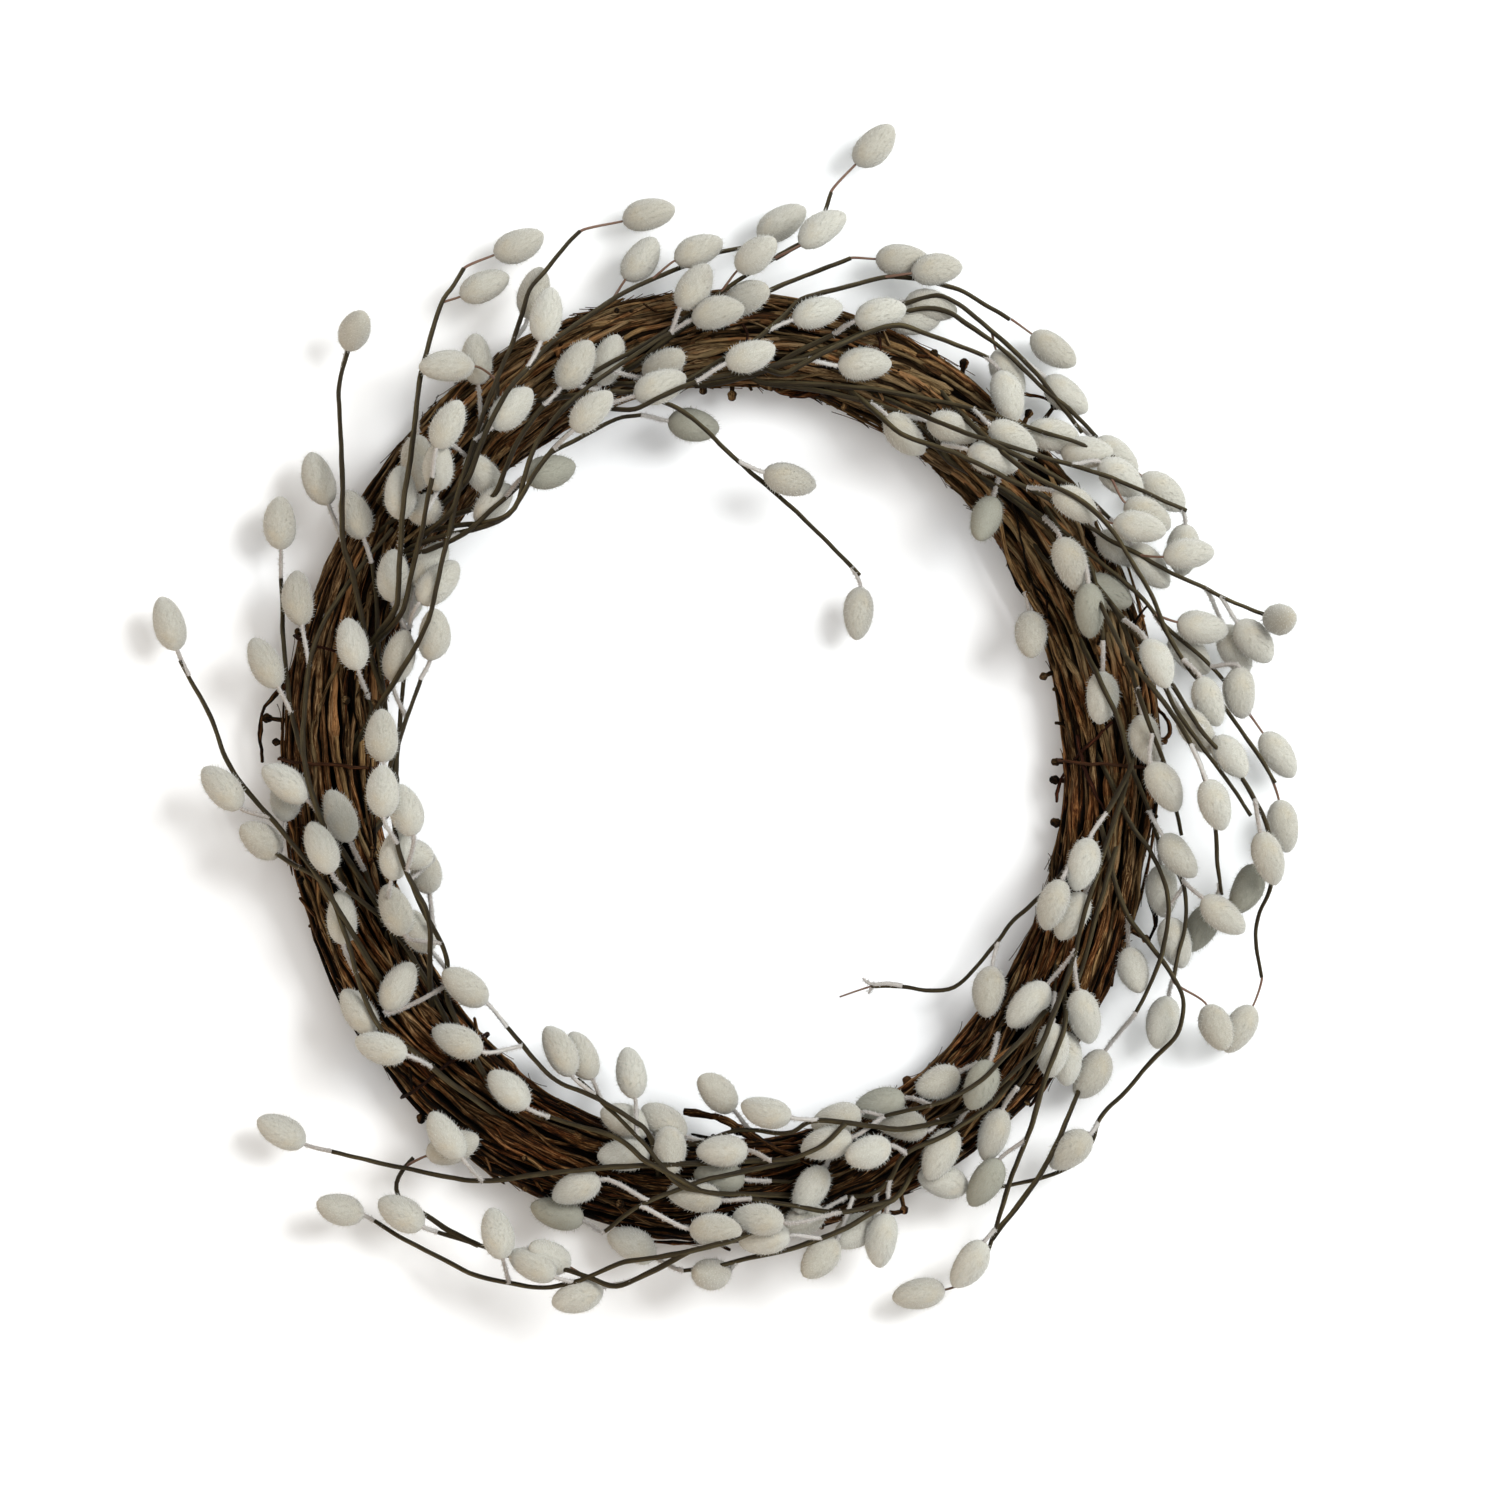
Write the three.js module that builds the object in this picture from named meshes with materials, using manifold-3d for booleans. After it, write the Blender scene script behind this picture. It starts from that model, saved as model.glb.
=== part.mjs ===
// A pussy willow wreath: an oval ring of wound vines with sprays of catkins laid on it, all leaning
// clockwise. It lies on its back, so +Z points out of its face, +Y to its top and +X to its right.
import * as THREE from "three";
import { mergeVertices } from "three/addons/utils/BufferGeometryUtils.js";
import Module from "manifold-3d";

// Scale and centre of the picture that the plan of the sprays was read from
const MM_PER_POINT = 0.5;
const CENTRE_X = 721;
const CENTRE_Y = 765;

// Ring of vines, in mm
const RING_HALF_WIDTH = 196;
const RING_HALF_HEIGHT = 214;
const RING_STATIONS = 24;
const STRAND_TURNS = 12;
const STRAND_RADIUS = 4.3;
const STRAND_SIDES = 4;
const STRAND_OUT = 20.2;
const STRAND_UP = 17.4;
const RING_WAVE = 0.06;
const INNER_CLEARANCE = 0.4;
const INNER_SIDES = 6;
const VINE_STARTS = [3, 77, 149, 221];
const VINE_END_LIFT = 7;
const VINE_END_STATIONS = 2;
const FLOOR_CUT = 1.1;

// Tendrils that tie the vines, by their place round the ring in degrees
const TIE_PLACES = [165, 180, 225, 360];
const TIE_RADIUS = 1;
const TIE_STEPS = 12;
const TIE_REACH = 25;
const TIE_CLEARANCE = 0.7;

// Catkins and their stems, in mm
const CATKIN_LENGTH = 27;
const CATKIN_LONGEST = 29;
const CATKIN_SIDES = 5;
const CATKIN_PROFILE = [
  [0, 0],
  [5.6, 0.07],
  [8.6, 0.36],
  [6.9, 0.74],
  [0, 1],
];
const CATKIN_BALLS = [
  [5.2, 0.12],
  [7.6, 0.26],
  [8.3, 0.41],
  [7.7, 0.57],
  [6.3, 0.72],
  [3.7, 0.87],
];
const STEM_RADIUS = 1.45;
const STALK_RADIUS = 1.2;
const STALK_START = 0.3;
const STEM_STEP = 22;
const STEM_SLOPE = 0.45;
const STALK_SLOPE = 1.3;
const STALK_BACK = 0.55;
const STALK_INSIDE = 3;
const FREE_HEIGHT = 5;
const TILTS = [0, -0.3, -0.15, 0.15, 0.3];
const FULL_VIEW = 24;
const OWN_SHARE = 0.92;
const STALK_BEND = 1.5;
const CLEARANCE = 0.4;
const RAISE_ROUNDS = 80;
const SEAT_GAP = 0.3;
const SEAT_SEARCH = 6;
const SEAT_ROUNDS = 20;
const SMALLEST_DETAIL = 0.3;
const TOLERANCE = 0.01;
const FLOOR_GAP = 1;

// Sprays from the back to the front, in points of the picture. A stem runs from its root on the
// ring to its tip. A catkin has its base, its tip and, where it shows, the start of its stalk.
const SPRAYS = [
  {
    name: "spray_left_1",
    stems: [[480, 1105, 440, 1075, 410, 1050, 390, 1040, 365, 1000, 345, 935, 325, 885, 285, 860, 240, 828]],
    under: [[278, 855, 241, 826], [343, 945, 340, 890], [374, 1033, 343, 992]],
    catkins: [[284, 822, 287, 772, 284, 853], [407, 1055, 355, 1040]],
  },
  {
    name: "spray_left_2",
    stems: [[335, 905, 310, 865, 277, 826, 250, 795, 228, 765, 205, 710, 178, 660]],
    under: [],
    catkins: [[175, 650, 158, 596], [240, 808, 202, 768]],
  },
  {
    name: "spray_left_3",
    stems: [[385, 920, 345, 855, 313, 800, 305, 765, 290, 710, 283, 650, 279, 578]],
    under: [],
    catkins: [[279, 549, 278, 495], [277, 687, 250, 637], [307, 800, 262, 767]],
  },
  {
    name: "spray_left_4",
    stems: [[440, 1010, 410, 955, 378, 915, 345, 890]],
    under: [],
    catkins: [[332, 873, 308, 817, 340, 890], [350, 842, 328, 790]],
  },
  {
    name: "spray_left_5",
    stems: [[320, 815, 304, 760, 305, 700, 315, 640, 350, 580, 392, 528]],
    under: [],
    catkins: [[416, 512, 434, 506], [301, 625, 295, 570, 305, 667]],
  },
  {
    name: "spray_left_6",
    stems: [
      [395, 780, 388, 740, 384, 705, 378, 650, 376, 600, 371, 563],
      [384, 705, 366, 640, 352, 575, 343, 545, 342, 500, 340, 440, 338, 380, 346, 350],
    ],
    under: [[363, 538, 345, 490]],
    catkins: [[358, 670, 346, 618], [327, 504, 308, 451, 341, 541], [346, 346, 362, 312]],
  },
  {
    name: "spray_left_7",
    stems: [[392, 800, 397, 740, 402, 690, 409, 628]],
    under: [],
    catkins: [[402, 622, 415, 572], [416, 588, 445, 542], [393, 602, 393, 549], [420, 603, 458, 562, 409, 628]],
  },
  {
    name: "spray_left_8",
    stems: [[470, 1050, 447, 1000, 447, 960, 437, 935, 420, 905, 408, 875]],
    under: [],
    catkins: [
      [385, 1011, 412, 963, 430, 985],
      [430, 950, 405, 912],
      [405, 935, 385, 885, 425, 950],
      [428, 892, 420, 850, 433, 925],
      [432, 858, 388, 850],
      [392, 880, 403, 830],
    ],
  },
  {
    name: "spray_left_9",
    stems: [[425, 905, 405, 865, 395, 825, 390, 775, 400, 740, 420, 680]],
    under: [],
    catkins: [
      [415, 835, 398, 784],
      [385, 762, 382, 709],
      [386, 817, 384, 765],
      [393, 682, 405, 630],
      [430, 660, 435, 609],
    ],
  },
  {
    name: "spray_left_10",
    stems: [[398, 600, 403, 520, 412, 450, 422, 370, 442, 300, 452, 285, 463, 267]],
    under: [[402, 520, 400, 466], [417, 434, 417, 492]],
    catkins: [[493, 253, 542, 232], [459, 295, 508, 274, 448, 305]],
  },
  {
    name: "spray_left_11",
    stems: [[405, 605, 418, 550, 428, 505, 436, 470, 447, 446]],
    under: [],
    catkins: [[438, 490, 440, 444], [438, 450, 461, 402], [467, 457, 505, 498, 447, 446]],
  },
  {
    name: "spray_left_12",
    stems: [[432, 610, 447, 545, 460, 490, 480, 440, 496, 400, 497, 382]],
    under: [],
    catkins: [[478, 384, 474, 334, 478, 440], [474, 366, 419, 367], [478, 525, 510, 487]],
  },
  {
    name: "spray_top_1",
    stems: [[470, 530, 512, 493, 550, 455, 580, 438, 620, 418, 640, 415]],
    under: [],
    catkins: [[668, 420, 719, 428], [525, 478, 576, 466]],
  },
  {
    name: "spray_top_2",
    stems: [
      [455, 505, 475, 440, 490, 400, 503, 365, 512, 345, 522, 315, 530, 290, 545, 270, 565, 245, 580, 230],
    ],
    under: [[527, 318, 540, 268]],
    catkins: [[622, 219, 675, 206], [493, 428, 532, 390, 478, 440]],
  },
  {
    name: "spray_top_3",
    stems: [[470, 475, 503, 400, 527, 370, 550, 345, 600, 308, 640, 284, 680, 267, 715, 252, 741, 246]],
    under: [],
    catkins: [
      [541, 342, 552, 288, 527, 370],
      [625, 278, 655, 236, 606, 302],
      [675, 260, 722, 240, 650, 278],
      [758, 235, 806, 206],
    ],
  },
  {
    name: "spray_top_4",
    stems: [[640, 360, 665, 340, 700, 318, 742, 301, 780, 285, 820, 268, 851, 256]],
    under: [],
    catkins: [[728, 305, 768, 288], [876, 257, 930, 258]],
  },
  {
    name: "spray_top_5",
    stems: [
      [498, 490, 520, 440, 545, 405, 590, 375, 630, 352, 665, 332, 700, 308, 735, 282, 775, 258],
      [775, 258, 812, 235, 825, 209, 831, 191],
    ],
    under: [[600, 385, 617, 336]],
    catkins: [
      [561, 388, 592, 340, 545, 405],
      [738, 270, 775, 240, 718, 292],
      [800, 245, 848, 212, 775, 258],
      [856, 162, 892, 125, 831, 191],
    ],
  },
  {
    name: "spray_top_6",
    stems: [[520, 500, 535, 450, 555, 420, 580, 395, 620, 365, 650, 345, 670, 333]],
    under: [],
    catkins: [[680, 308, 708, 264], [645, 375, 683, 353], [692, 320, 743, 308]],
  },
  {
    name: "spray_top_7",
    stems: [[590, 395, 625, 393, 664, 402, 690, 417, 735, 458, 775, 492, 825, 538, 860, 575]],
    under: [],
    catkins: [[764, 472, 816, 486, 735, 458], [861, 586, 857, 637]],
  },
  {
    name: "spray_top_8",
    stems: [[515, 510, 545, 462, 580, 425, 610, 405]],
    under: [],
    catkins: [[574, 432, 612, 394, 552, 450], [635, 397, 686, 377]],
  },
  {
    name: "spray_top_9",
    stems: [
      [690, 380, 720, 362, 750, 345, 785, 315, 800, 300, 820, 293, 850, 285, 890, 275, 912, 276, 940, 282,
        965, 290, 985, 302, 1012, 317],
    ],
    under: [],
    catkins: [[793, 320, 842, 306], [912, 272, 963, 265, 885, 276], [1033, 332, 1074, 361]],
  },
  {
    name: "spray_top_10",
    stems: [
      [705, 384, 760, 372, 800, 350, 853, 325, 903, 303, 925, 296, 940, 294, 957, 301, 975, 315, 990, 328,
        1010, 345, 1040, 375, 1055, 395, 1070, 415, 1083, 432],
      [760, 372, 815, 352, 860, 333, 908, 310, 930, 307, 950, 311, 970, 324, 990, 338, 1015, 359, 1045, 388,
        1075, 412, 1098, 437],
    ],
    under: [[905, 300, 957, 310], [888, 318, 937, 318], [997, 348, 1022, 396, 989, 330], [1047, 376, 1088, 410]],
    catkins: [[855, 321, 906, 307], [1097, 438, 1136, 470]],
  },
  {
    name: "spray_top_11",
    stems: [[640, 408, 697, 383, 740, 374, 780, 364, 808, 360]],
    under: [],
    catkins: [[726, 365, 775, 348, 697, 383], [838, 365, 892, 363]],
  },
  {
    name: "spray_top_12",
    stems: [[790, 372, 830, 350, 870, 332, 897, 325, 925, 333, 955, 343, 975, 350, 989, 357]],
    under: [],
    catkins: [[1000, 370, 1015, 422]],
  },
  {
    name: "spray_right_1",
    stems: [
      [765, 382, 830, 384, 900, 393, 970, 408, 1020, 424, 1070, 440, 1115, 457],
      [765, 382, 830, 392, 870, 402, 905, 415, 925, 430, 942, 443],
    ],
    under: [[1028, 430, 1080, 438], [1062, 452, 1112, 452]],
    catkins: [
      [887, 415, 924, 453, 870, 402],
      [927, 420, 980, 436, 905, 415],
      [990, 425, 1038, 456, 972, 408],
      [968, 450, 1018, 468],
      [1143, 475, 1186, 508],
    ],
  },
  {
    name: "spray_right_2",
    stems: [
      [985, 440, 1040, 456, 1080, 468, 1110, 478, 1140, 490, 1187, 511],
      [985, 440, 1030, 463, 1060, 480, 1090, 500, 1110, 518],
    ],
    under: [[1100, 462, 1142, 494]],
    catkins: [
      [1186, 524, 1183, 574],
      [1125, 503, 1168, 527, 1112, 482],
      [1098, 535, 1145, 562],
      [1132, 545, 1170, 588],
      [1112, 524, 1164, 532],
    ],
  },
  {
    name: "spray_right_3",
    stems: [
      [915, 440, 960, 456, 1000, 475, 1045, 498, 1080, 520, 1110, 540, 1140, 555, 1170, 573, 1200, 585,
        1235, 603, 1270, 616],
    ],
    under: [],
    catkins: [
      [1053, 492, 1096, 519, 1030, 485],
      [1163, 557, 1211, 552, 1140, 555],
      [1225, 625, 1250, 672, 1203, 588],
      [1238, 622, 1271, 660, 1218, 595],
      [1272, 616, 1290, 618],
    ],
  },
  {
    name: "spray_right_4",
    stems: [
      [955, 462, 1000, 490, 1040, 520, 1085, 550, 1110, 570, 1140, 595, 1165, 625, 1195, 650, 1225, 680,
        1250, 712],
    ],
    under: [[1172, 635, 1208, 670], [1085, 580, 1132, 604]],
    catkins: [[1178, 622, 1229, 632], [1240, 667, 1244, 718], [1265, 733, 1296, 777]],
  },
  {
    name: "spray_right_5",
    stems: [
      [1040, 480, 1085, 505, 1110, 530, 1130, 560, 1150, 595, 1168, 635, 1192, 672, 1227, 710, 1255, 748,
        1277, 783],
    ],
    under: [],
    catkins: [[1200, 677, 1219, 726, 1184, 660], [1281, 800, 1290, 853]],
  },
  {
    name: "spray_right_6",
    stems: [
      [1060, 530, 1085, 570, 1115, 610, 1140, 660, 1160, 680, 1175, 710, 1200, 745, 1230, 785, 1250, 815],
      [1115, 610, 1148, 650, 1175, 690, 1200, 730, 1222, 755, 1246, 785, 1268, 830, 1272, 885, 1260, 918,
        1257, 935, 1260, 960, 1264, 978],
    ],
    under: [[1180, 710, 1214, 752], [1258, 865, 1236, 913], [1215, 738, 1244, 776]],
    catkins: [[1145, 640, 1166, 688], [1260, 832, 1276, 885], [1255, 1007, 1230, 1050]],
  },
  {
    name: "spray_right_7",
    stems: [[955, 465, 1000, 487, 1045, 518, 1075, 542, 1092, 570, 1100, 610, 1103, 640]],
    under: [],
    catkins: [
      [1060, 538, 1080, 596, 1045, 518],
      [1088, 583, 1090, 640, 1080, 550],
      [1103, 671, 1100, 723],
    ],
  },
  {
    name: "loose_vine",
    stems: [[968, 470, 988, 492, 1000, 520, 1008, 555, 1028, 595, 1048, 630, 1062, 665]],
    under: [],
    catkins: [[993, 498, 979, 540], [1030, 612, 1032, 657]],
  },
  {
    name: "spray_right_8",
    stems: [
      [1105, 615, 1130, 670, 1145, 715, 1165, 765, 1177, 812, 1182, 835],
      [1130, 670, 1165, 705, 1192, 748, 1204, 780, 1215, 825, 1217, 860, 1222, 895],
    ],
    under: [[1142, 714, 1155, 766]],
    catkins: [[1150, 763, 1178, 812], [1215, 905, 1190, 952], [1205, 780, 1222, 830, 1190, 745]],
  },
  {
    name: "spray_right_9",
    stems: [[1100, 680, 1118, 720, 1133, 770, 1150, 812, 1163, 850, 1183, 880, 1186, 920, 1178, 960, 1174, 980]],
    under: [[1162, 865, 1166, 917], [1168, 918, 1184, 968]],
    catkins: [
      [1163, 835, 1196, 877, 1150, 812],
      [1203, 898, 1245, 932, 1183, 880],
      [1170, 997, 1158, 1050],
      [1209, 1007, 1226, 1050, 1174, 980],
    ],
  },
  {
    name: "spray_right_10",
    stems: [
      [1105, 840, 1118, 890, 1130, 918, 1150, 945, 1172, 975, 1184, 1000, 1178, 1035, 1150, 1065, 1125, 1095,
        1100, 1122, 1094, 1142, 1078, 1164, 1030, 1183, 990, 1191],
    ],
    under: [],
    catkins: [[1130, 950, 1141, 992, 1127, 915], [1091, 1135, 1054, 1167, 1100, 1122], [968, 1190, 920, 1176]],
  },
  {
    name: "spray_right_11",
    stems: [[1115, 790, 1135, 830, 1150, 850, 1168, 895, 1165, 945, 1150, 985, 1137, 1012]],
    under: [],
    catkins: [[1107, 1052, 1078, 1099]],
  },
  {
    name: "spray_right_12",
    stems: [[1110, 870, 1096, 920, 1085, 960, 1068, 1010]],
    under: [],
    catkins: [[1065, 1032, 1068, 1087], [1053, 1023, 1050, 1078]],
  },
  {
    name: "spray_right_13",
    stems: [[1122, 800, 1108, 840, 1095, 880, 1083, 920, 1073, 960, 1060, 1000, 1048, 1030, 1035, 1060, 1018, 1086]],
    under: [[1085, 893, 1060, 939]],
    catkins: [
      [1078, 990, 1091, 1044, 1075, 955],
      [1048, 984, 1009, 1027, 1071, 950],
      [1003, 1110, 985, 1162],
    ],
  },
  {
    name: "spray_right_14",
    stems: [
      [1130, 770, 1112, 805, 1085, 843, 1060, 876, 1035, 902, 1010, 925, 1000, 940, 975, 970, 955, 988,
        930, 992, 900, 987, 872, 987],
    ],
    under: [],
    catkins: [[1090, 838, 1075, 891, 1107, 812], [993, 967, 986, 1017, 1000, 940], [1062, 880, 1045, 930]],
  },
  {
    name: "spray_bottom_1",
    stems: [
      [1062, 1035, 1045, 1080, 1030, 1130, 1010, 1185, 997, 1228, 985, 1262, 974, 1280],
      [997, 1228, 1035, 1185, 1060, 1140, 1077, 1098, 1100, 1045],
    ],
    under: [[1000, 1160, 971, 1207]],
    catkins: [[985, 1243, 953, 1290, 997, 1228], [946, 1292, 897, 1300, 974, 1280]],
  },
  {
    name: "spray_bottom_2",
    stems: [[1055, 1010, 1040, 1045, 1020, 1065, 1000, 1085, 975, 1105, 940, 1120]],
    under: [],
    catkins: [
      [990, 1060, 970, 1108],
      [958, 1073, 917, 1091],
      [928, 1131, 880, 1122, 945, 1118],
      [955, 1130, 925, 1185, 966, 1110],
    ],
  },
  {
    name: "spray_bottom_3",
    stems: [[1010, 1050, 980, 1080, 945, 1100, 905, 1110, 885, 1116]],
    under: [[905, 1098, 857, 1109]],
    catkins: [[861, 1112, 813, 1126], [852, 1137, 801, 1151, 885, 1116]],
  },
  {
    name: "spray_bottom_4",
    stems: [[985, 1110, 945, 1135, 905, 1155, 890, 1180, 870, 1195, 848, 1198]],
    under: [],
    catkins: [
      [888, 1145, 847, 1157, 905, 1155],
      [872, 1222, 836, 1244],
      [887, 1214, 879, 1269, 890, 1182],
      [822, 1212, 785, 1231],
      [836, 1241, 804, 1276],
      [825, 1168, 797, 1213],
    ],
  },
  {
    name: "spray_bottom_5",
    stems: [
      [890, 1128, 840, 1122, 812, 1120, 790, 1132, 740, 1130, 702, 1142, 670, 1148],
      [840, 1122, 820, 1145, 790, 1158, 772, 1160],
    ],
    under: [[648, 1135, 602, 1112], [685, 1137, 642, 1108]],
    catkins: [
      [668, 1128, 672, 1174],
      [733, 1110, 700, 1077],
      [791, 1117, 741, 1104],
      [650, 1153, 600, 1157],
      [745, 1180, 697, 1175],
      [748, 1150, 698, 1152],
    ],
  },
  {
    name: "spray_bottom_6",
    stems: [
      [890, 1202, 843, 1212, 800, 1207, 752, 1199],
      [890, 1202, 850, 1226, 800, 1246, 760, 1256, 720, 1266, 684, 1271],
    ],
    under: [[725, 1275, 696, 1272]],
    catkins: [
      [722, 1200, 666, 1192],
      [790, 1235, 741, 1242],
      [784, 1222, 735, 1215, 843, 1212],
      [655, 1260, 607, 1236],
    ],
  },
  {
    name: "spray_bottom_7",
    stems: [[690, 1185, 650, 1200, 625, 1215, 605, 1232]],
    under: [],
    catkins: [[583, 1222, 530, 1207], [600, 1180, 553, 1199, 650, 1200], [690, 1228, 742, 1230, 640, 1207]],
  },
  {
    name: "spray_bottom_8",
    stems: [
      [730, 1240, 680, 1252, 624, 1262, 600, 1272, 570, 1283, 545, 1288, 510, 1284, 480, 1278, 450, 1265,
        400, 1240, 373, 1223],
      [680, 1252, 655, 1268, 615, 1286, 590, 1278, 565, 1270, 512, 1258, 485, 1249, 436, 1234],
      [485, 1249, 447, 1232, 424, 1217, 398, 1200, 395, 1185, 403, 1170, 412, 1160],
    ],
    under: [[568, 1267, 530, 1246], [603, 1288, 553, 1304]],
    catkins: [
      [555, 1277, 512, 1255],
      [361, 1217, 316, 1204],
      [503, 1259, 491, 1208],
      [422, 1228, 380, 1203],
      [426, 1157, 480, 1138],
    ],
  },
  {
    name: "spray_bottom_9",
    stems: [[660, 1165, 605, 1168, 550, 1173, 485, 1182, 440, 1177, 385, 1166, 330, 1153]],
    under: [],
    catkins: [[303, 1146, 256, 1121], [462, 1158, 430, 1113, 484, 1181]],
  },
  {
    name: "spray_bottom_10",
    stems: [
      [700, 1190, 680, 1185, 645, 1145, 600, 1100, 577, 1080],
      [680, 1185, 645, 1160, 620, 1140, 585, 1128, 550, 1118],
    ],
    under: [],
    catkins: [[592, 1080, 572, 1036], [572, 1076, 545, 1026], [635, 1099, 626, 1048, 640, 1135], [527, 1108, 489, 1073]],
  },
  {
    name: "spray_bottom_11",
    stems: [[640, 1125, 600, 1100, 555, 1080, 530, 1055, 507, 1028]],
    under: [],
    catkins: [[482, 1052, 432, 1030, 520, 1045], [486, 1003, 443, 971]],
  },
];

// Colours of the materials
const LOOKS = {
  inner: { color: 0x3d281a, roughness: 0.95 },
  vine: { color: 0x5f3d26, roughness: 0.9 },
  tie: { color: 0x7a4528, roughness: 0.85 },
  spray: { color: 0xd9d0bd, roughness: 1 },
};

const wasm = await Module();
wasm.setup();

// A closed solid of a geometry
function solidOf(geometry) {
  geometry.deleteAttribute("normal");
  geometry.deleteAttribute("uv");
  const merged = mergeVertices(geometry, 1e-4);
  const index = merged.index.array;
  const kept = [];
  for (let i = 0; i < index.length; i += 3) {
    const [a, b, c] = [index[i], index[i + 1], index[i + 2]];
    if (a !== b && b !== c && c !== a) {
      kept.push(a, b, c);
    }
  }
  const vertProperties = new Float32Array(merged.attributes.position.array);
  return new wasm.Manifold(new wasm.Mesh({ numProp: 3, vertProperties, triVerts: new Uint32Array(kept) }));
}

// A path of straight pieces through its points, with a tube's rings exactly at the points
class Bend extends THREE.Curve {
  constructor(points) {
    super();
    this.points = points;
  }

  getPoint(t, target = new THREE.Vector3()) {
    const at = t * (this.points.length - 1);
    const i = Math.min(Math.floor(at), this.points.length - 2);
    return target.lerpVectors(this.points[i], this.points[i + 1], at - i);
  }

  getPointAt(u, target) {
    return this.getPoint(u, target);
  }

  getTangentAt(u, target) {
    return this.getTangent(u, target);
  }
}

// A tube along the points, whose first ring is the start share as wide as the others
function tube(points, radius, sides, start = 1) {
  const corners = [];
  for (let i = 0; i < sides; i += 1) {
    const turn = (2 * Math.PI * i) / sides;
    corners.push(new THREE.Vector2(radius * Math.cos(turn), radius * Math.sin(turn)));
  }
  const options = { steps: points.length - 1, bevelEnabled: false, extrudePath: new Bend(points) };
  const geometry = new THREE.ExtrudeGeometry(new THREE.Shape(corners), options);
  const position = geometry.attributes.position;
  const vertex = new THREE.Vector3();
  for (let i = 0; i < position.count; i += 1) {
    vertex.fromBufferAttribute(position, i);
    const onFirstRing = vertex.distanceTo(points[0]) < radius + TOLERANCE;
    if (onFirstRing) {
      vertex.lerp(points[0], 1 - start);
      position.setXYZ(i, vertex.x, vertex.y, vertex.z);
    }
  }
  return solidOf(geometry);
}

// Middle line of the ring, and the way out of it in its own plane
function ringPlace(angle) {
  const centre = new THREE.Vector3(RING_HALF_WIDTH * Math.cos(angle), RING_HALF_HEIGHT * Math.sin(angle), 0);
  const out = new THREE.Vector3(Math.cos(angle) / RING_HALF_WIDTH, Math.sin(angle) / RING_HALF_HEIGHT, 0);
  return { centre, out: out.normalize() };
}

function ringSwell(angle) {
  return 1 + RING_WAVE * (0.5 + 0.3 * Math.sin(3 * angle + 1) + 0.2 * Math.sin(7 * angle));
}

// The vines lie side by side as one long spiral, which moves on by one strand at each turn
function strandPoint(step, lift) {
  const angle = (2 * Math.PI * step) / RING_STATIONS;
  const roll = angle * (1 + 1 / STRAND_TURNS);
  const { centre, out } = ringPlace(angle);
  const sideways = (STRAND_OUT * ringSwell(angle) + lift) * Math.cos(roll);
  const up = (STRAND_UP + lift) * Math.sin(roll);
  return centre.addScaledVector(out, sideways).add(new THREE.Vector3(0, 0, up));
}

// Each vine's two ends stand out of the ring
function vinePoints(first, last) {
  const points = [];
  for (let step = first; step <= last; step += 1) {
    const fromEnd = Math.min(step - first, last - step);
    const lift = VINE_END_LIFT * Math.max(0, 1 - fromEnd / VINE_END_STATIONS) ** 2;
    points.push(strandPoint(step, lift));
  }
  return points;
}

// The inner turns of vine, packed together
function innerVines() {
  const geometry = new THREE.TorusGeometry(RING_HALF_WIDTH, 1, INNER_SIDES, RING_STATIONS);
  const position = geometry.attributes.position;
  const halfOut = STRAND_OUT - STRAND_RADIUS - INNER_CLEARANCE;
  const halfUp = STRAND_UP - STRAND_RADIUS - INNER_CLEARANCE;
  for (let i = 0; i < position.count; i += 1) {
    const x = position.getX(i);
    const y = position.getY(i);
    const { centre, out } = ringPlace(Math.atan2(y, x));
    centre.addScaledVector(out, (Math.hypot(x, y) - RING_HALF_WIDTH) * halfOut);
    position.setXYZ(i, centre.x, centre.y, position.getZ(i) * halfUp);
  }
  return solidOf(geometry);
}

// A tendril crosses the face of the ring from edge to edge
function tiePoints(place) {
  const points = [];
  for (let i = 0; i <= TIE_STEPS; i += 1) {
    const share = i / TIE_STEPS;
    const roll = THREE.MathUtils.degToRad(-TIE_REACH + share * (180 + 2 * TIE_REACH));
    const angle = THREE.MathUtils.degToRad(place + 2 * share - 1);
    const { centre, out } = ringPlace(angle);
    const beyond = STRAND_RADIUS + TIE_RADIUS + TIE_CLEARANCE;
    centre.addScaledVector(out, (STRAND_OUT * ringSwell(angle) + beyond) * Math.cos(roll));
    points.push(centre.setZ((STRAND_UP + beyond) * Math.sin(roll)));
  }
  return points;
}

// What lies below, as balls sorted into square cells
const CELL = 20;
const BALL_STEP = 2;
const cells = new Map();

function cellOf(x, y) {
  return Math.floor(x / CELL) + " " + Math.floor(y / CELL);
}

function addBalls(balls) {
  for (const ball of balls) {
    const key = cellOf(ball.x, ball.y);
    if (!cells.has(key)) {
      cells.set(key, []);
    }
    cells.get(key).push(ball);
  }
}

function heightOn(balls, x, y, radius, share = 1) {
  let height = -Infinity;
  for (const ball of balls) {
    const reach = (ball.r + radius) * share + CLEARANCE;
    const aside = (ball.x - x) ** 2 + (ball.y - y) ** 2;
    if (aside < reach * reach) {
      height = Math.max(height, ball.z + Math.sqrt(reach * reach - aside));
    }
  }
  return height;
}

function heightBelow(x, y, radius) {
  let height = -Infinity;
  for (let i = -1; i <= 1; i += 1) {
    for (let j = -1; j <= 1; j += 1) {
      const near = cells.get(cellOf(x + i * CELL, y + j * CELL)) ?? [];
      height = Math.max(height, heightOn(near, x, y, radius));
    }
  }
  return height;
}

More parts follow.
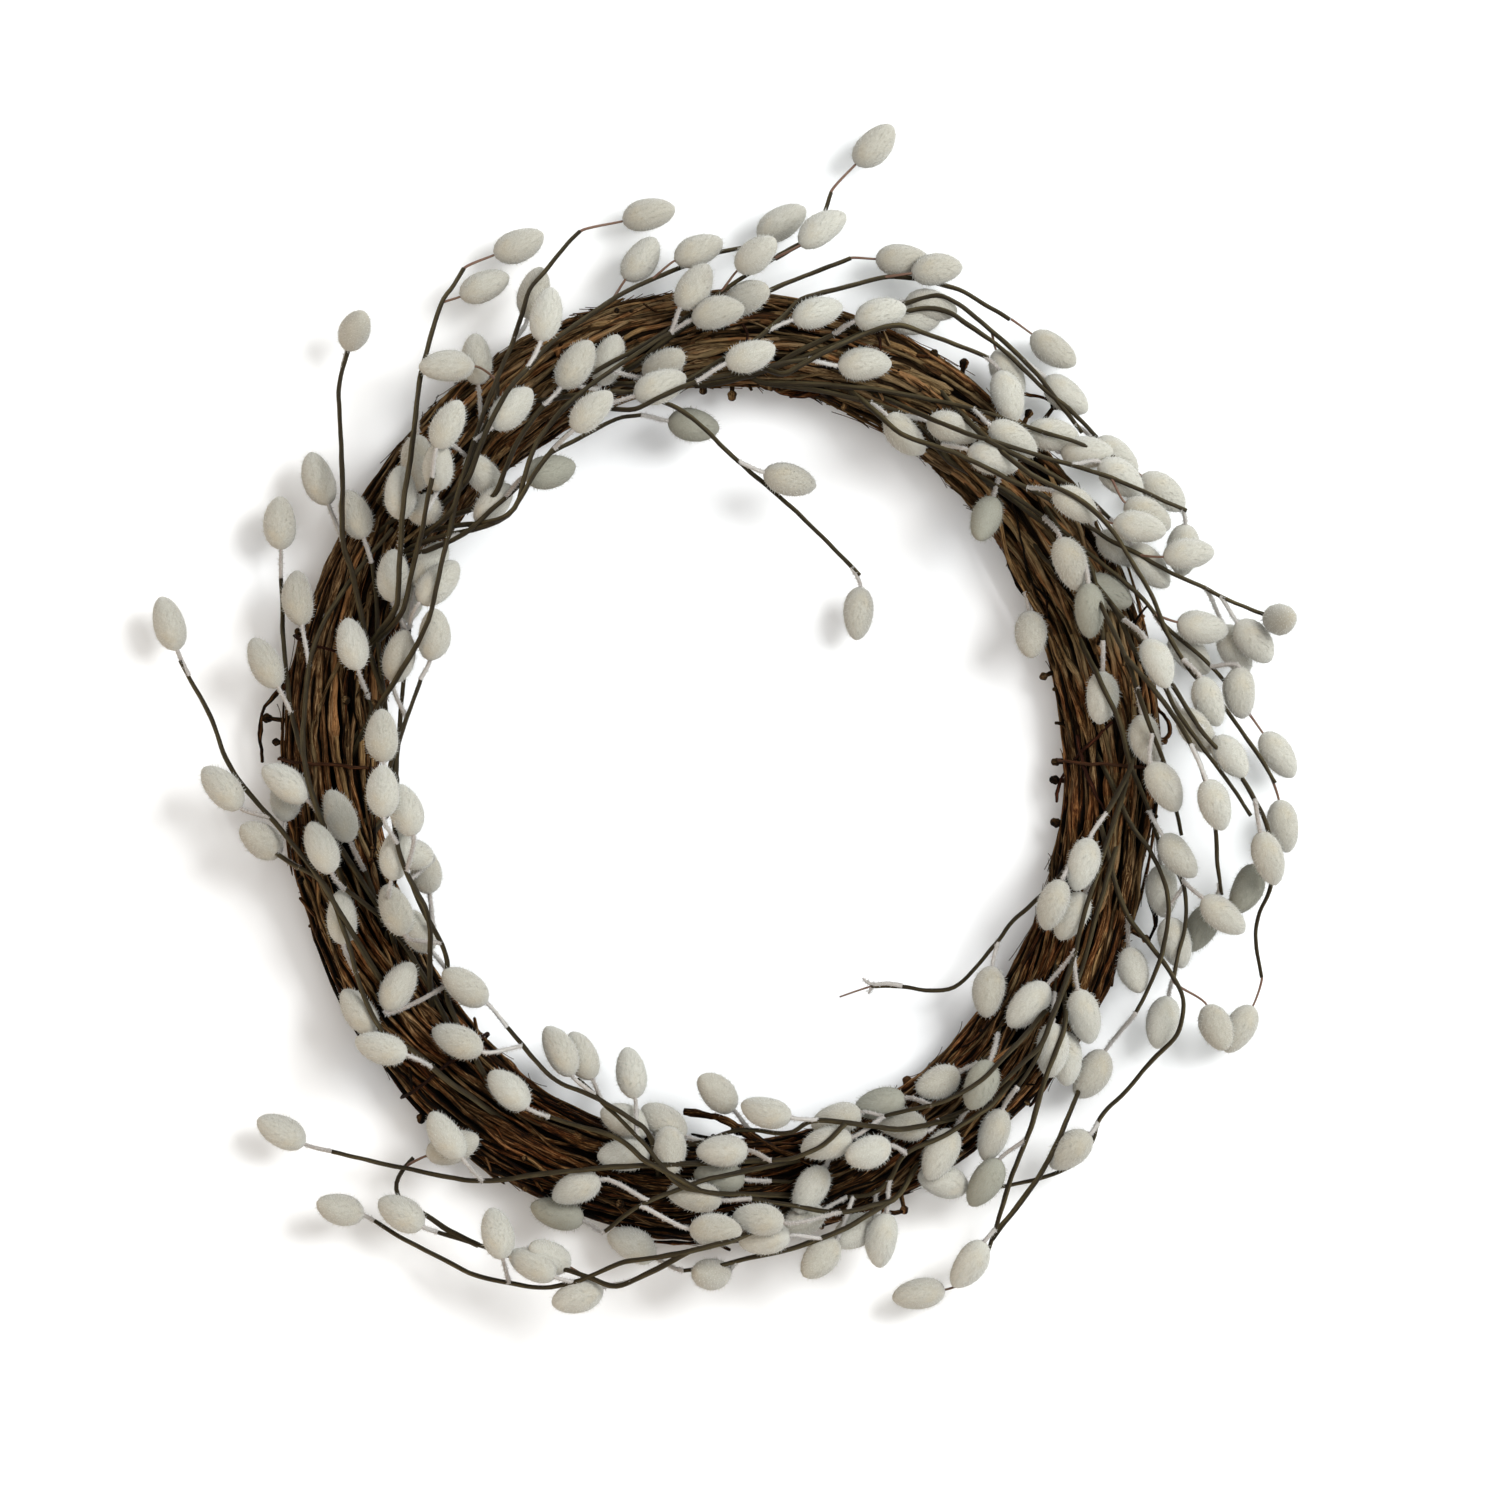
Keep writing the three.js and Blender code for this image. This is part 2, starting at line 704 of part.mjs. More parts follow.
function lineBalls(a, b, radius) {
  const count = Math.ceil(a.distanceTo(b) / BALL_STEP);
  const balls = [];
  for (let i = 0; i <= count; i += 1) {
    const at = a.clone().lerp(b, i / count);
    balls.push({ x: at.x, y: at.y, z: at.z, r: radius });
  }
  return balls;
}

function pathBalls(points, radius) {
  return points.slice(1).flatMap((point, i) => lineBalls(points[i], point, radius));
}

function planPoints(numbers) {
  const points = [];
  for (let i = 0; i < numbers.length; i += 2) {
    const x = (numbers[i] - CENTRE_X) * MM_PER_POINT;
    const y = (CENTRE_Y - numbers[i + 1]) * MM_PER_POINT;
    points.push(new THREE.Vector3(x, y, 0));
  }
  return points;
}

// Middles of the stems' straight pieces, where stalks start, and each stem's tip
function startsOf(stems) {
  return stems.flatMap((points) => {
    const middles = points.slice(1).map((b, i) => {
      const start = points[i].clone().lerp(b, 0.5);
      return Object.assign(start, { ends: [points[i], b] });
    });
    return [...middles, points.at(-1)];
  });
}

function nearest(points, target) {
  return points.reduce((best, p) =>
    Math.hypot(p.x - target.x, p.y - target.y) < Math.hypot(best.x - target.x, best.y - target.y) ? p : best,
  );
}

// A catkin read shorter than it is points towards the viewer, and any other may tilt a little
function readCatkin(row, starts) {
  const [base, tip, start] = planPoints(row);
  const across = tip.clone().sub(base);
  const seen = across.length();
  const tilts = seen < FULL_VIEW ? [Math.acos(seen / CATKIN_LENGTH)] : TILTS;
  const ways = tilts.map((tilt) => {
    const plan = Math.min(seen, CATKIN_LONGEST * Math.cos(tilt));
    const length = Math.max(CATKIN_LENGTH, plan / Math.cos(tilt));
    return { length, way: across.clone().setLength(length * Math.cos(tilt)).setZ(length * Math.sin(tilt)) };
  });
  const from = nearest(starts, start ?? base.clone().addScaledVector(across, -STALK_BACK));
  const middle = from.clone().lerp(base, 0.5);
  return { base, from, middle, ways, ends: from.ends, ...ways[0] };
}

function catkinBalls(catkin) {
  return CATKIN_BALLS.map(([r, share]) => {
    const at = catkin.base.clone().addScaledVector(catkin.way, share);
    return { x: at.x, y: at.y, z: at.z, r };
  });
}

// The tilt that keeps a catkin lowest over what heightAt gives, with its base no lower than least
function tiltCatkin(catkin, least, heightAt) {
  let best = Infinity;
  for (const { way, length } of catkin.ways) {
    const heights = CATKIN_BALLS.map(([r, share]) => {
      const at = catkin.base.clone().addScaledVector(way, share);
      return heightAt(at.x, at.y, r) - way.z * share;
    });
    const height = Math.max(least, ...heights);
    if (height + way.z / 2 < best) {
      best = height + way.z / 2;
      Object.assign(catkin, { way, length });
      catkin.base.z = height;
    }
  }
}

// A rod between two joints, with the greatest height that it must clear on its way
function rodOf(a, b, radius, slope, heightAt) {
  const length = Math.hypot(a.x - b.x, a.y - b.y);
  const count = Math.max(2, Math.ceil(length / BALL_STEP));
  let height = -Infinity;
  for (let i = 0; i <= count; i += 1) {
    const share = i / count;
    height = Math.max(height, heightAt(a.x + (b.x - a.x) * share, a.y + (b.y - a.y) * share, radius));
  }
  return { a, b, drop: slope * length, height };
}

// Joints are raised until every rod clears what is below it and none is too steep
function raise(rods, mids) {
  for (let round = 0; round < RAISE_ROUNDS; round += 1) {
    for (const { a, b, drop, height } of rods) {
      a.z = Math.max(a.z, b.z - drop, height);
      b.z = Math.max(b.z, a.z - drop, height);
    }
    for (const mid of mids) {
      const [a, b] = mid.ends;
      const lack = Math.max(0, mid.z - (a.z + b.z) / 2);
      a.z += lack;
      b.z += lack;
      mid.z = (a.z + b.z) / 2;
    }
  }
}

// One spray, laid on what is already there
function laySpray(spray) {
  const outside = (x, y, r) => Math.max(FREE_HEIGHT, heightBelow(x, y, r));
  const stems = [];
  const joints = [];
  for (const numbers of spray.stems) {
    const curve = new THREE.CatmullRomCurve3(planPoints(numbers), false, "centripetal");
    const points = curve.getSpacedPoints(Math.max(2, Math.round(curve.getLength() / STEM_STEP)));
    if (joints.length) {
      points[0] = nearest(joints, points[0]);
    }
    stems.push(points);
    joints.push(...points);
  }
  const starts = startsOf(stems);
  const under = spray.under.map((row) => readCatkin(row, starts));
  const over = spray.catkins.map((row) => readCatkin(row, starts));
  for (const catkin of under) {
    tiltCatkin(catkin, FREE_HEIGHT, outside);
  }
  const laid = under.flatMap(catkinBalls);
  const overUnder = (x, y, r) => Math.max(outside(x, y, r), heightOn(laid, x, y, r));
  const rods = stems.flatMap((points) =>
    points.slice(1).map((point, i) => rodOf(points[i], point, STEM_RADIUS, STEM_SLOPE, overUnder)),
  );
  for (const { from, middle, base } of [...under, ...over]) {
    rods.push(rodOf(from, middle, STALK_RADIUS, STALK_SLOPE, outside));
    rods.push(rodOf(middle, base, STALK_RADIUS, STALK_SLOPE, outside));
  }
  const mids = starts.filter((start) => start.ends);
  raise(rods, mids);
  for (const catkin of over) {
    const near = (ball) => Math.hypot(ball.x - catkin.from.x, ball.y - catkin.from.y) < CATKIN_LENGTH / 2;
    const stemBalls = stems.flatMap((points) => pathBalls(points, STEM_RADIUS)).filter((ball) => !near(ball));
    const overOwn = (x, y, r) =>
      Math.max(outside(x, y, r), heightOn(stemBalls, x, y, r), heightOn(laid, x, y, r, OWN_SHARE));
    tiltCatkin(catkin, catkin.base.z, overOwn);
    laid.push(...catkinBalls(catkin));
    raise(rods, mids);
  }
  const catkins = [...under, ...over];
  for (const points of stems) {
    const last = catkins.find(({ from }) => from === points.at(-1));
    if (last) {
      points.push(...stalkPoints(last).slice(1));
      last.grown = true;
    }
  }
  return { stems, catkins };
}

const catkinAxis = new THREE.Vector3(0, 1, 0);

function catkinSolid({ base, way, length }) {
  const profile = CATKIN_PROFILE.map(([r, share]) => new THREE.Vector2(r, share * length));
  const geometry = new THREE.LatheGeometry(profile, CATKIN_SIDES);
  const turn = new THREE.Quaternion().setFromUnitVectors(catkinAxis, way.clone().normalize());
  geometry.applyQuaternion(turn);
  geometry.translate(base.x, base.y, base.z);
  return solidOf(geometry);
}

// A stalk runs straight into its catkin, or over a bend where something lies in its way
function stalkPoints({ from, middle, base, way, length }) {
  const inside = base.clone().addScaledVector(way, STALK_INSIDE / length);
  const bend = Math.abs(middle.z - (from.z + base.z) / 2);
  return bend > STALK_BEND ? [from, middle, inside] : [from, inside];
}

function spraySolid({ stems, catkins }) {
  const pieces = stems.map((points) => tube(points, STEM_RADIUS, 3));
  for (const catkin of catkins) {
    pieces.push(catkinSolid(catkin));
    if (!catkin.grown) {
      pieces.push(tube(stalkPoints(catkin), STALK_RADIUS, 3, STALK_START));
    }
  }
  const shells = wasm.Manifold.union(pieces).decompose();
  return wasm.Manifold.union(shells.filter((shell) => shell.volume() > 0)).simplify(SMALLEST_DETAIL);
}

function sprayBalls({ stems, catkins }) {
  return [
    ...stems.flatMap((points) => pathBalls(points, STEM_RADIUS)),
    ...catkins.flatMap(catkinBalls),
    ...catkins.flatMap((catkin) => pathBalls(stalkPoints(catkin), STALK_RADIUS)),
  ];
}

function boxesNear(a, b, reach) {
  const one = a.boundingBox();
  const two = b.boundingBox();
  return [0, 1, 2].every((i) => one.min[i] < two.max[i] + reach && two.min[i] < one.max[i] + reach);
}

// A spray sinks until it all but touches a piece, or has come as near to one as it does on its way
function seat(solid, others) {
  const most = solid.boundingBox().min[2] - floor - FLOOR_GAP;
  let best = { lowered: solid, sunk: 0, gap: Infinity };
  let sunk = 0;
  for (let round = 0; round < SEAT_ROUNDS; round += 1) {
    const lowered = solid.translate([0, 0, -sunk]);
    const near = others.filter((other) => boxesNear(lowered, other, SEAT_SEARCH));
    const gap = Math.min(SEAT_SEARCH, ...near.map((other) => lowered.minGap(other, SEAT_SEARCH)));
    if (gap > best.gap) {
      break;
    }
    best = { lowered, sunk, gap };
    if (gap < SEAT_GAP + TOLERANCE) {
      break;
    }
    sunk = Math.min(most, sunk + gap - SEAT_GAP);
  }
  return best;
}

const named = [];

function keep(name, look, solid) {
  named.push({ name, look, solid });
}

// Ring of vines and tendrils, cut flat where they meet the surface they lie on
const floor = -(STRAND_UP + STRAND_RADIUS) + FLOOR_CUT;
const below = 4 * RING_HALF_HEIGHT;
const underFloor = solidOf(new THREE.BoxGeometry(below, below, below).translate(0, 0, floor - below / 2));
keep("inner_vines", LOOKS.inner, innerVines());
VINE_STARTS.forEach((first, i) => {
  const next = VINE_STARTS[i + 1] ?? VINE_STARTS[0] + RING_STATIONS * STRAND_TURNS;
  const points = vinePoints(first, next - 1);
  keep("vine_" + (i + 1), LOOKS.vine, tube(points, STRAND_RADIUS, STRAND_SIDES).subtract(underFloor));
  addBalls(pathBalls(points, STRAND_RADIUS));
});
TIE_PLACES.forEach((place, i) => {
  const points = tiePoints(place);
  keep("tendril_" + (i + 1), LOOKS.tie, tube(points, TIE_RADIUS, 3));
  addBalls(pathBalls(points, TIE_RADIUS));
});

// Sprays
for (const spray of SPRAYS) {
  const laid = laySpray(spray);
  const { lowered, sunk } = seat(
    spraySolid(laid),
    named.map(({ solid }) => solid),
  );
  addBalls(sprayBalls(laid).map((ball) => ({ ...ball, z: ball.z - sunk })));
  keep(spray.name, spray.name === "loose_vine" ? LOOKS.vine : LOOKS.spray, lowered);
}

// The whole, with its lowest point at 0 and its middle over the origin
const box = new THREE.Box3();
for (const { solid } of named) {
  const { min, max } = solid.boundingBox();
  box.union(new THREE.Box3(new THREE.Vector3(...min), new THREE.Vector3(...max)));
}
const middle = box.getCenter(new THREE.Vector3());

const wreath = new THREE.Group();
wreath.name = "twig_wreath";
wreath.position.set(-middle.x, -middle.y, -box.min.z);
for (const { name, look, solid } of named) {
  const { vertProperties, triVerts } = solid.getMesh();
  const geometry = new THREE.BufferGeometry();
  geometry.setAttribute("position", new THREE.BufferAttribute(vertProperties, 3));
  geometry.setIndex(new THREE.BufferAttribute(triVerts, 1));
  geometry.computeVertexNormals();
  const mesh = new THREE.Mesh(geometry, new THREE.MeshStandardMaterial({ ...look, metalness: 0 }));
  mesh.name = name;
  wreath.add(mesh);
}

export default wreath;
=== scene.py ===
"""A twig wreath: vines wound into an oval ring, with sprays of white flocked catkins pushed in among them.

Lengths are worked out in millimetres from the middle of the ring, and are made metres of the frame
when they are put into a mesh.
"""

import bpy
import numpy as np
from bpy.props import FloatProperty, FloatVectorProperty, IntProperty, PointerProperty
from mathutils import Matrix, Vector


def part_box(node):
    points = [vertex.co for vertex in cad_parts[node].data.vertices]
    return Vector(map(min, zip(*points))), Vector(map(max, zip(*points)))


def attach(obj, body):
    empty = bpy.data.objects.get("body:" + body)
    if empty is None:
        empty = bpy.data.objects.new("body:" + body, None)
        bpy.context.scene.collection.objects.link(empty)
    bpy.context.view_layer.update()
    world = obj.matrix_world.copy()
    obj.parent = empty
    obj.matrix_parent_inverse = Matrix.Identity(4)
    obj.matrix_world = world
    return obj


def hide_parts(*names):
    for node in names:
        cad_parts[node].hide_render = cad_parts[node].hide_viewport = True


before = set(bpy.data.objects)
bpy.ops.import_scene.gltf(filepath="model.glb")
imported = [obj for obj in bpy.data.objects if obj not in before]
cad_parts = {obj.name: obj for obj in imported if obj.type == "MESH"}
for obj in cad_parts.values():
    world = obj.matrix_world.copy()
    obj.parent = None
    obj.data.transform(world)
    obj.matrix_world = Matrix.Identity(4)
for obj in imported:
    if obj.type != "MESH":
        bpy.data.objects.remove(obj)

bl_info = {
    "name": "Twig Wreath",
    "version": (1, 0, 0),
    "blender": (4, 5, 0),
    "location": "3D View > Sidebar > Twig Wreath",
    "description": "Builds a wreath of twisted vines with sprays of white catkins",
    "category": "Add Mesh",
}

MM = 0.001
UP = np.array([0.0, 0.0, 1.0])

# The readings' scale, and the point of the picture over the middle of the ring
MM_PER_POINT = 0.5
RING_POINT = (721, 765)
PICTURE_POINT = (750, 750)
PICTURE_SIDE = 1500

# A start for the random draws of each group of pieces
SEEDS = {
    "inner_turns": 11,
    "vines": 5,
    "crossing_vines": 8,
    "tendrils": 21,
    "stems": 3,
    "stalks": 13,
    "catkins": 17,
}

# The ring and its four vines, as the solids have them: stations once round, first and last station of
# each vine, turns of its winding to each turn of the ring, how far the winding reaches outwards and
# upwards, and how far and over how many stations a vine's ends lift off
RING_HALF_WIDTH = 196
RING_HALF_HEIGHT = 214
STATIONS = 24
VINE_ENDS = ((3, 76), (77, 148), (149, 220), (221, 290))
ROLL_PER_TURN = 13 / 12
STRANDS_OUT = 20.2
STRANDS_UP = 17.4
RING_WAVE = 0.06
END_LIFT = 7
END_STATIONS = 2
TENDRIL_PLACES = (165, 180, 225, 360)

# Thin vines of a strand: thicknesses as shares of the mean, points of each from station to station, and
# the length over which one goes once round its strand
STRAND_SHARES = (1.35, 1.05, 0.9, 0.75, 0.55)
STATION_POINTS = 12
TWIST_LENGTH = 330

# Ranges of radii, of angles round the ring, of degrees from its surface and of lengths, to draw from
INNER_RADII = (1.9, 2.9)
CROSSING_RADII = (0.6, 1.4)
CROSSING_ARCS = (0.5, 2.3)
STUB_RADII = (0.5, 1.1)
STUB_LEANS = (15, 50)
STUB_LENGTHS = (5, 15)

# How far out of the strands' middle lines other things are: the ring's skin, and the middle lines of
# crossing vines, of tendrils and of the roots of broken twigs
SKIN_LIFT = 3.6
CROSSING_LIFT = 2.6
TENDRIL_LIFT = 5.6
STUB_LIFT = 1

# Tendrils: radius, and degrees round the ring's section where one starts and ends
TENDRIL_RADIUS = 0.8
TENDRIL_ROLL = (-25, 205)

# Broken twigs on the whole ring, and bark of a vine to each of its knots
STUBS = 110
KNOT_SPACING = 38

# Slivers of bark: how many on each vine, the longest and the widest, and whether they are only where
# the bark peels most, beyond a place to the right, up and above
STRAND_SLIVERS = ((20, 60, 2.2, False), (30, 24, 0.8, False), (24, 26, 4.6, True))
CROSSING_SLIVERS = (14, 16, 0.8, False)
FLAKY_BEYOND = (-130, 60, -8)
SLIVER_TONES = (0.7, 1.7)
SLIVER_THICKNESS = 0.4
SLIVER_LIFT = 3.2

# Buds: how many on each crossing vine, and the sizes of those and of the ones in the list of buds
VINE_BUDS = 3
SMALL_BUDS = (0.9, 1.6)
LARGE_BUDS = (1.9, 2.6)

# Twigs: how far they lie off the ring, and how long and how deep in it the root is
TWIG_LIFT = 0.6
ROOT_LENGTH = 8
ROOT_DEPTH = 5

# The grain of a vine or stem starts anywhere along this length of bark
GRAIN_LENGTH = 4000

# Stems of the sprays, as the solids have them: the step from joint to joint, and the radius
STEM_STEP = 22
STEM_RADIUS = 1.45

# Catkins, as the solids have them: usual and greatest length, the length in the picture up to which the
# usual one gives the tilt, the tilts of a longer one, and the profile as radii and shares of the length
CATKIN_LENGTH = 27
CATKIN_LONGEST = 29
FULL_VIEW = 24
TILTS = (0, -0.3, -0.15, 0.15, 0.3)
SOLID_SIDES = 5
SOLID_PROFILE = ((5.6, 0.07), (8.6, 0.36), (6.9, 0.74))

# Corners and heights are the same within this distance, and curves are measured by this many points
SAME = 0.05
CURVE_POINTS = 201

# A stalk that isn't read starts this share of the catkin's length behind it. It grows from a stem's tip
# or from a stem's side that is within these distances of its start
STALK_BACK = 0.55
TIP_REACH = 6
STALK_REACH = 9

# A stem's foot: how long it may be, how far it may turn aside in degrees, how clear of catkins it stays,
# and how far from the ring's middle line and how high its end may be
FOOT_LENGTHS = np.linspace(24, 66, 6)
FOOT_TURNS = (0, -20, 20, -40, 40)
FOOT_CLEAR = 9
FOOT_ASIDE = 11
FOOT_HEIGHT = 8

# Length of a short stem that comes out of the ring, beyond its foot
SHORT_STEM = 4

# Stalks: radii at the stem and at the catkin of downy and of bare ones, how far one goes on inside its
# catkin, and hairs to each millimetre
DOWNY_RADII = (1.1, 0.95)
BARE_RADII = (0.75, 0.55)
STALK_POINTS = 12
STALK_INSIDE = 3
DOWN_PER_MM = 7

# Catkins: rings and sides of a body, the place along it where it is widest, and the turn from each of
# its hairs to the next
CATKIN_RINGS = 9
CATKIN_SIDES = 12
CATKIN_WIDEST = 0.42
GOLDEN_ANGLE = 2.39996

# Tones of catkins and of their hairs, what is added from the top to the underside (painted shade on the
# body, a painted white sheen on the hairs), and hairs' widths
CATKIN_TONES = (0.46, 0.66)
CATKIN_PAINTED_SHADE = 0.12
HAIR_TONES = (-0.4, 0.0)
HAIR_PAINTED_SHEEN = -0.8
HAIR_WIDTHS = (0.22, 0.34)

# The stage in metres: half the floor's side, and colour, side and place of each lamp
FLOOR_REACH = 6
LAMPS = {
    "key": ((0.97, 0.99, 1.0), 2.1, (2.65, 1.35, 4.4)),
    "top": ((1.0, 1.0, 1.0), 4.0, (0.36, 0.18, 5.0)),
    "low": ((1.0, 0.64, 0.26), 2.0, (-2.75, -1.75, 0.7)),
    "side": ((0.9, 1.0, 1.0), 2.0, (2.8, 1.6, 0.9)),
}
SKY = (0.95, 0.98, 1.0, 1.0)

# The camera's lens and sensor in millimetres, the height in metres at which the readings' scale holds,
# and how far the camera sees
LENS = 400
SENSOR = 36
SCALE_HEIGHT = 0.06
FAR_END = 30

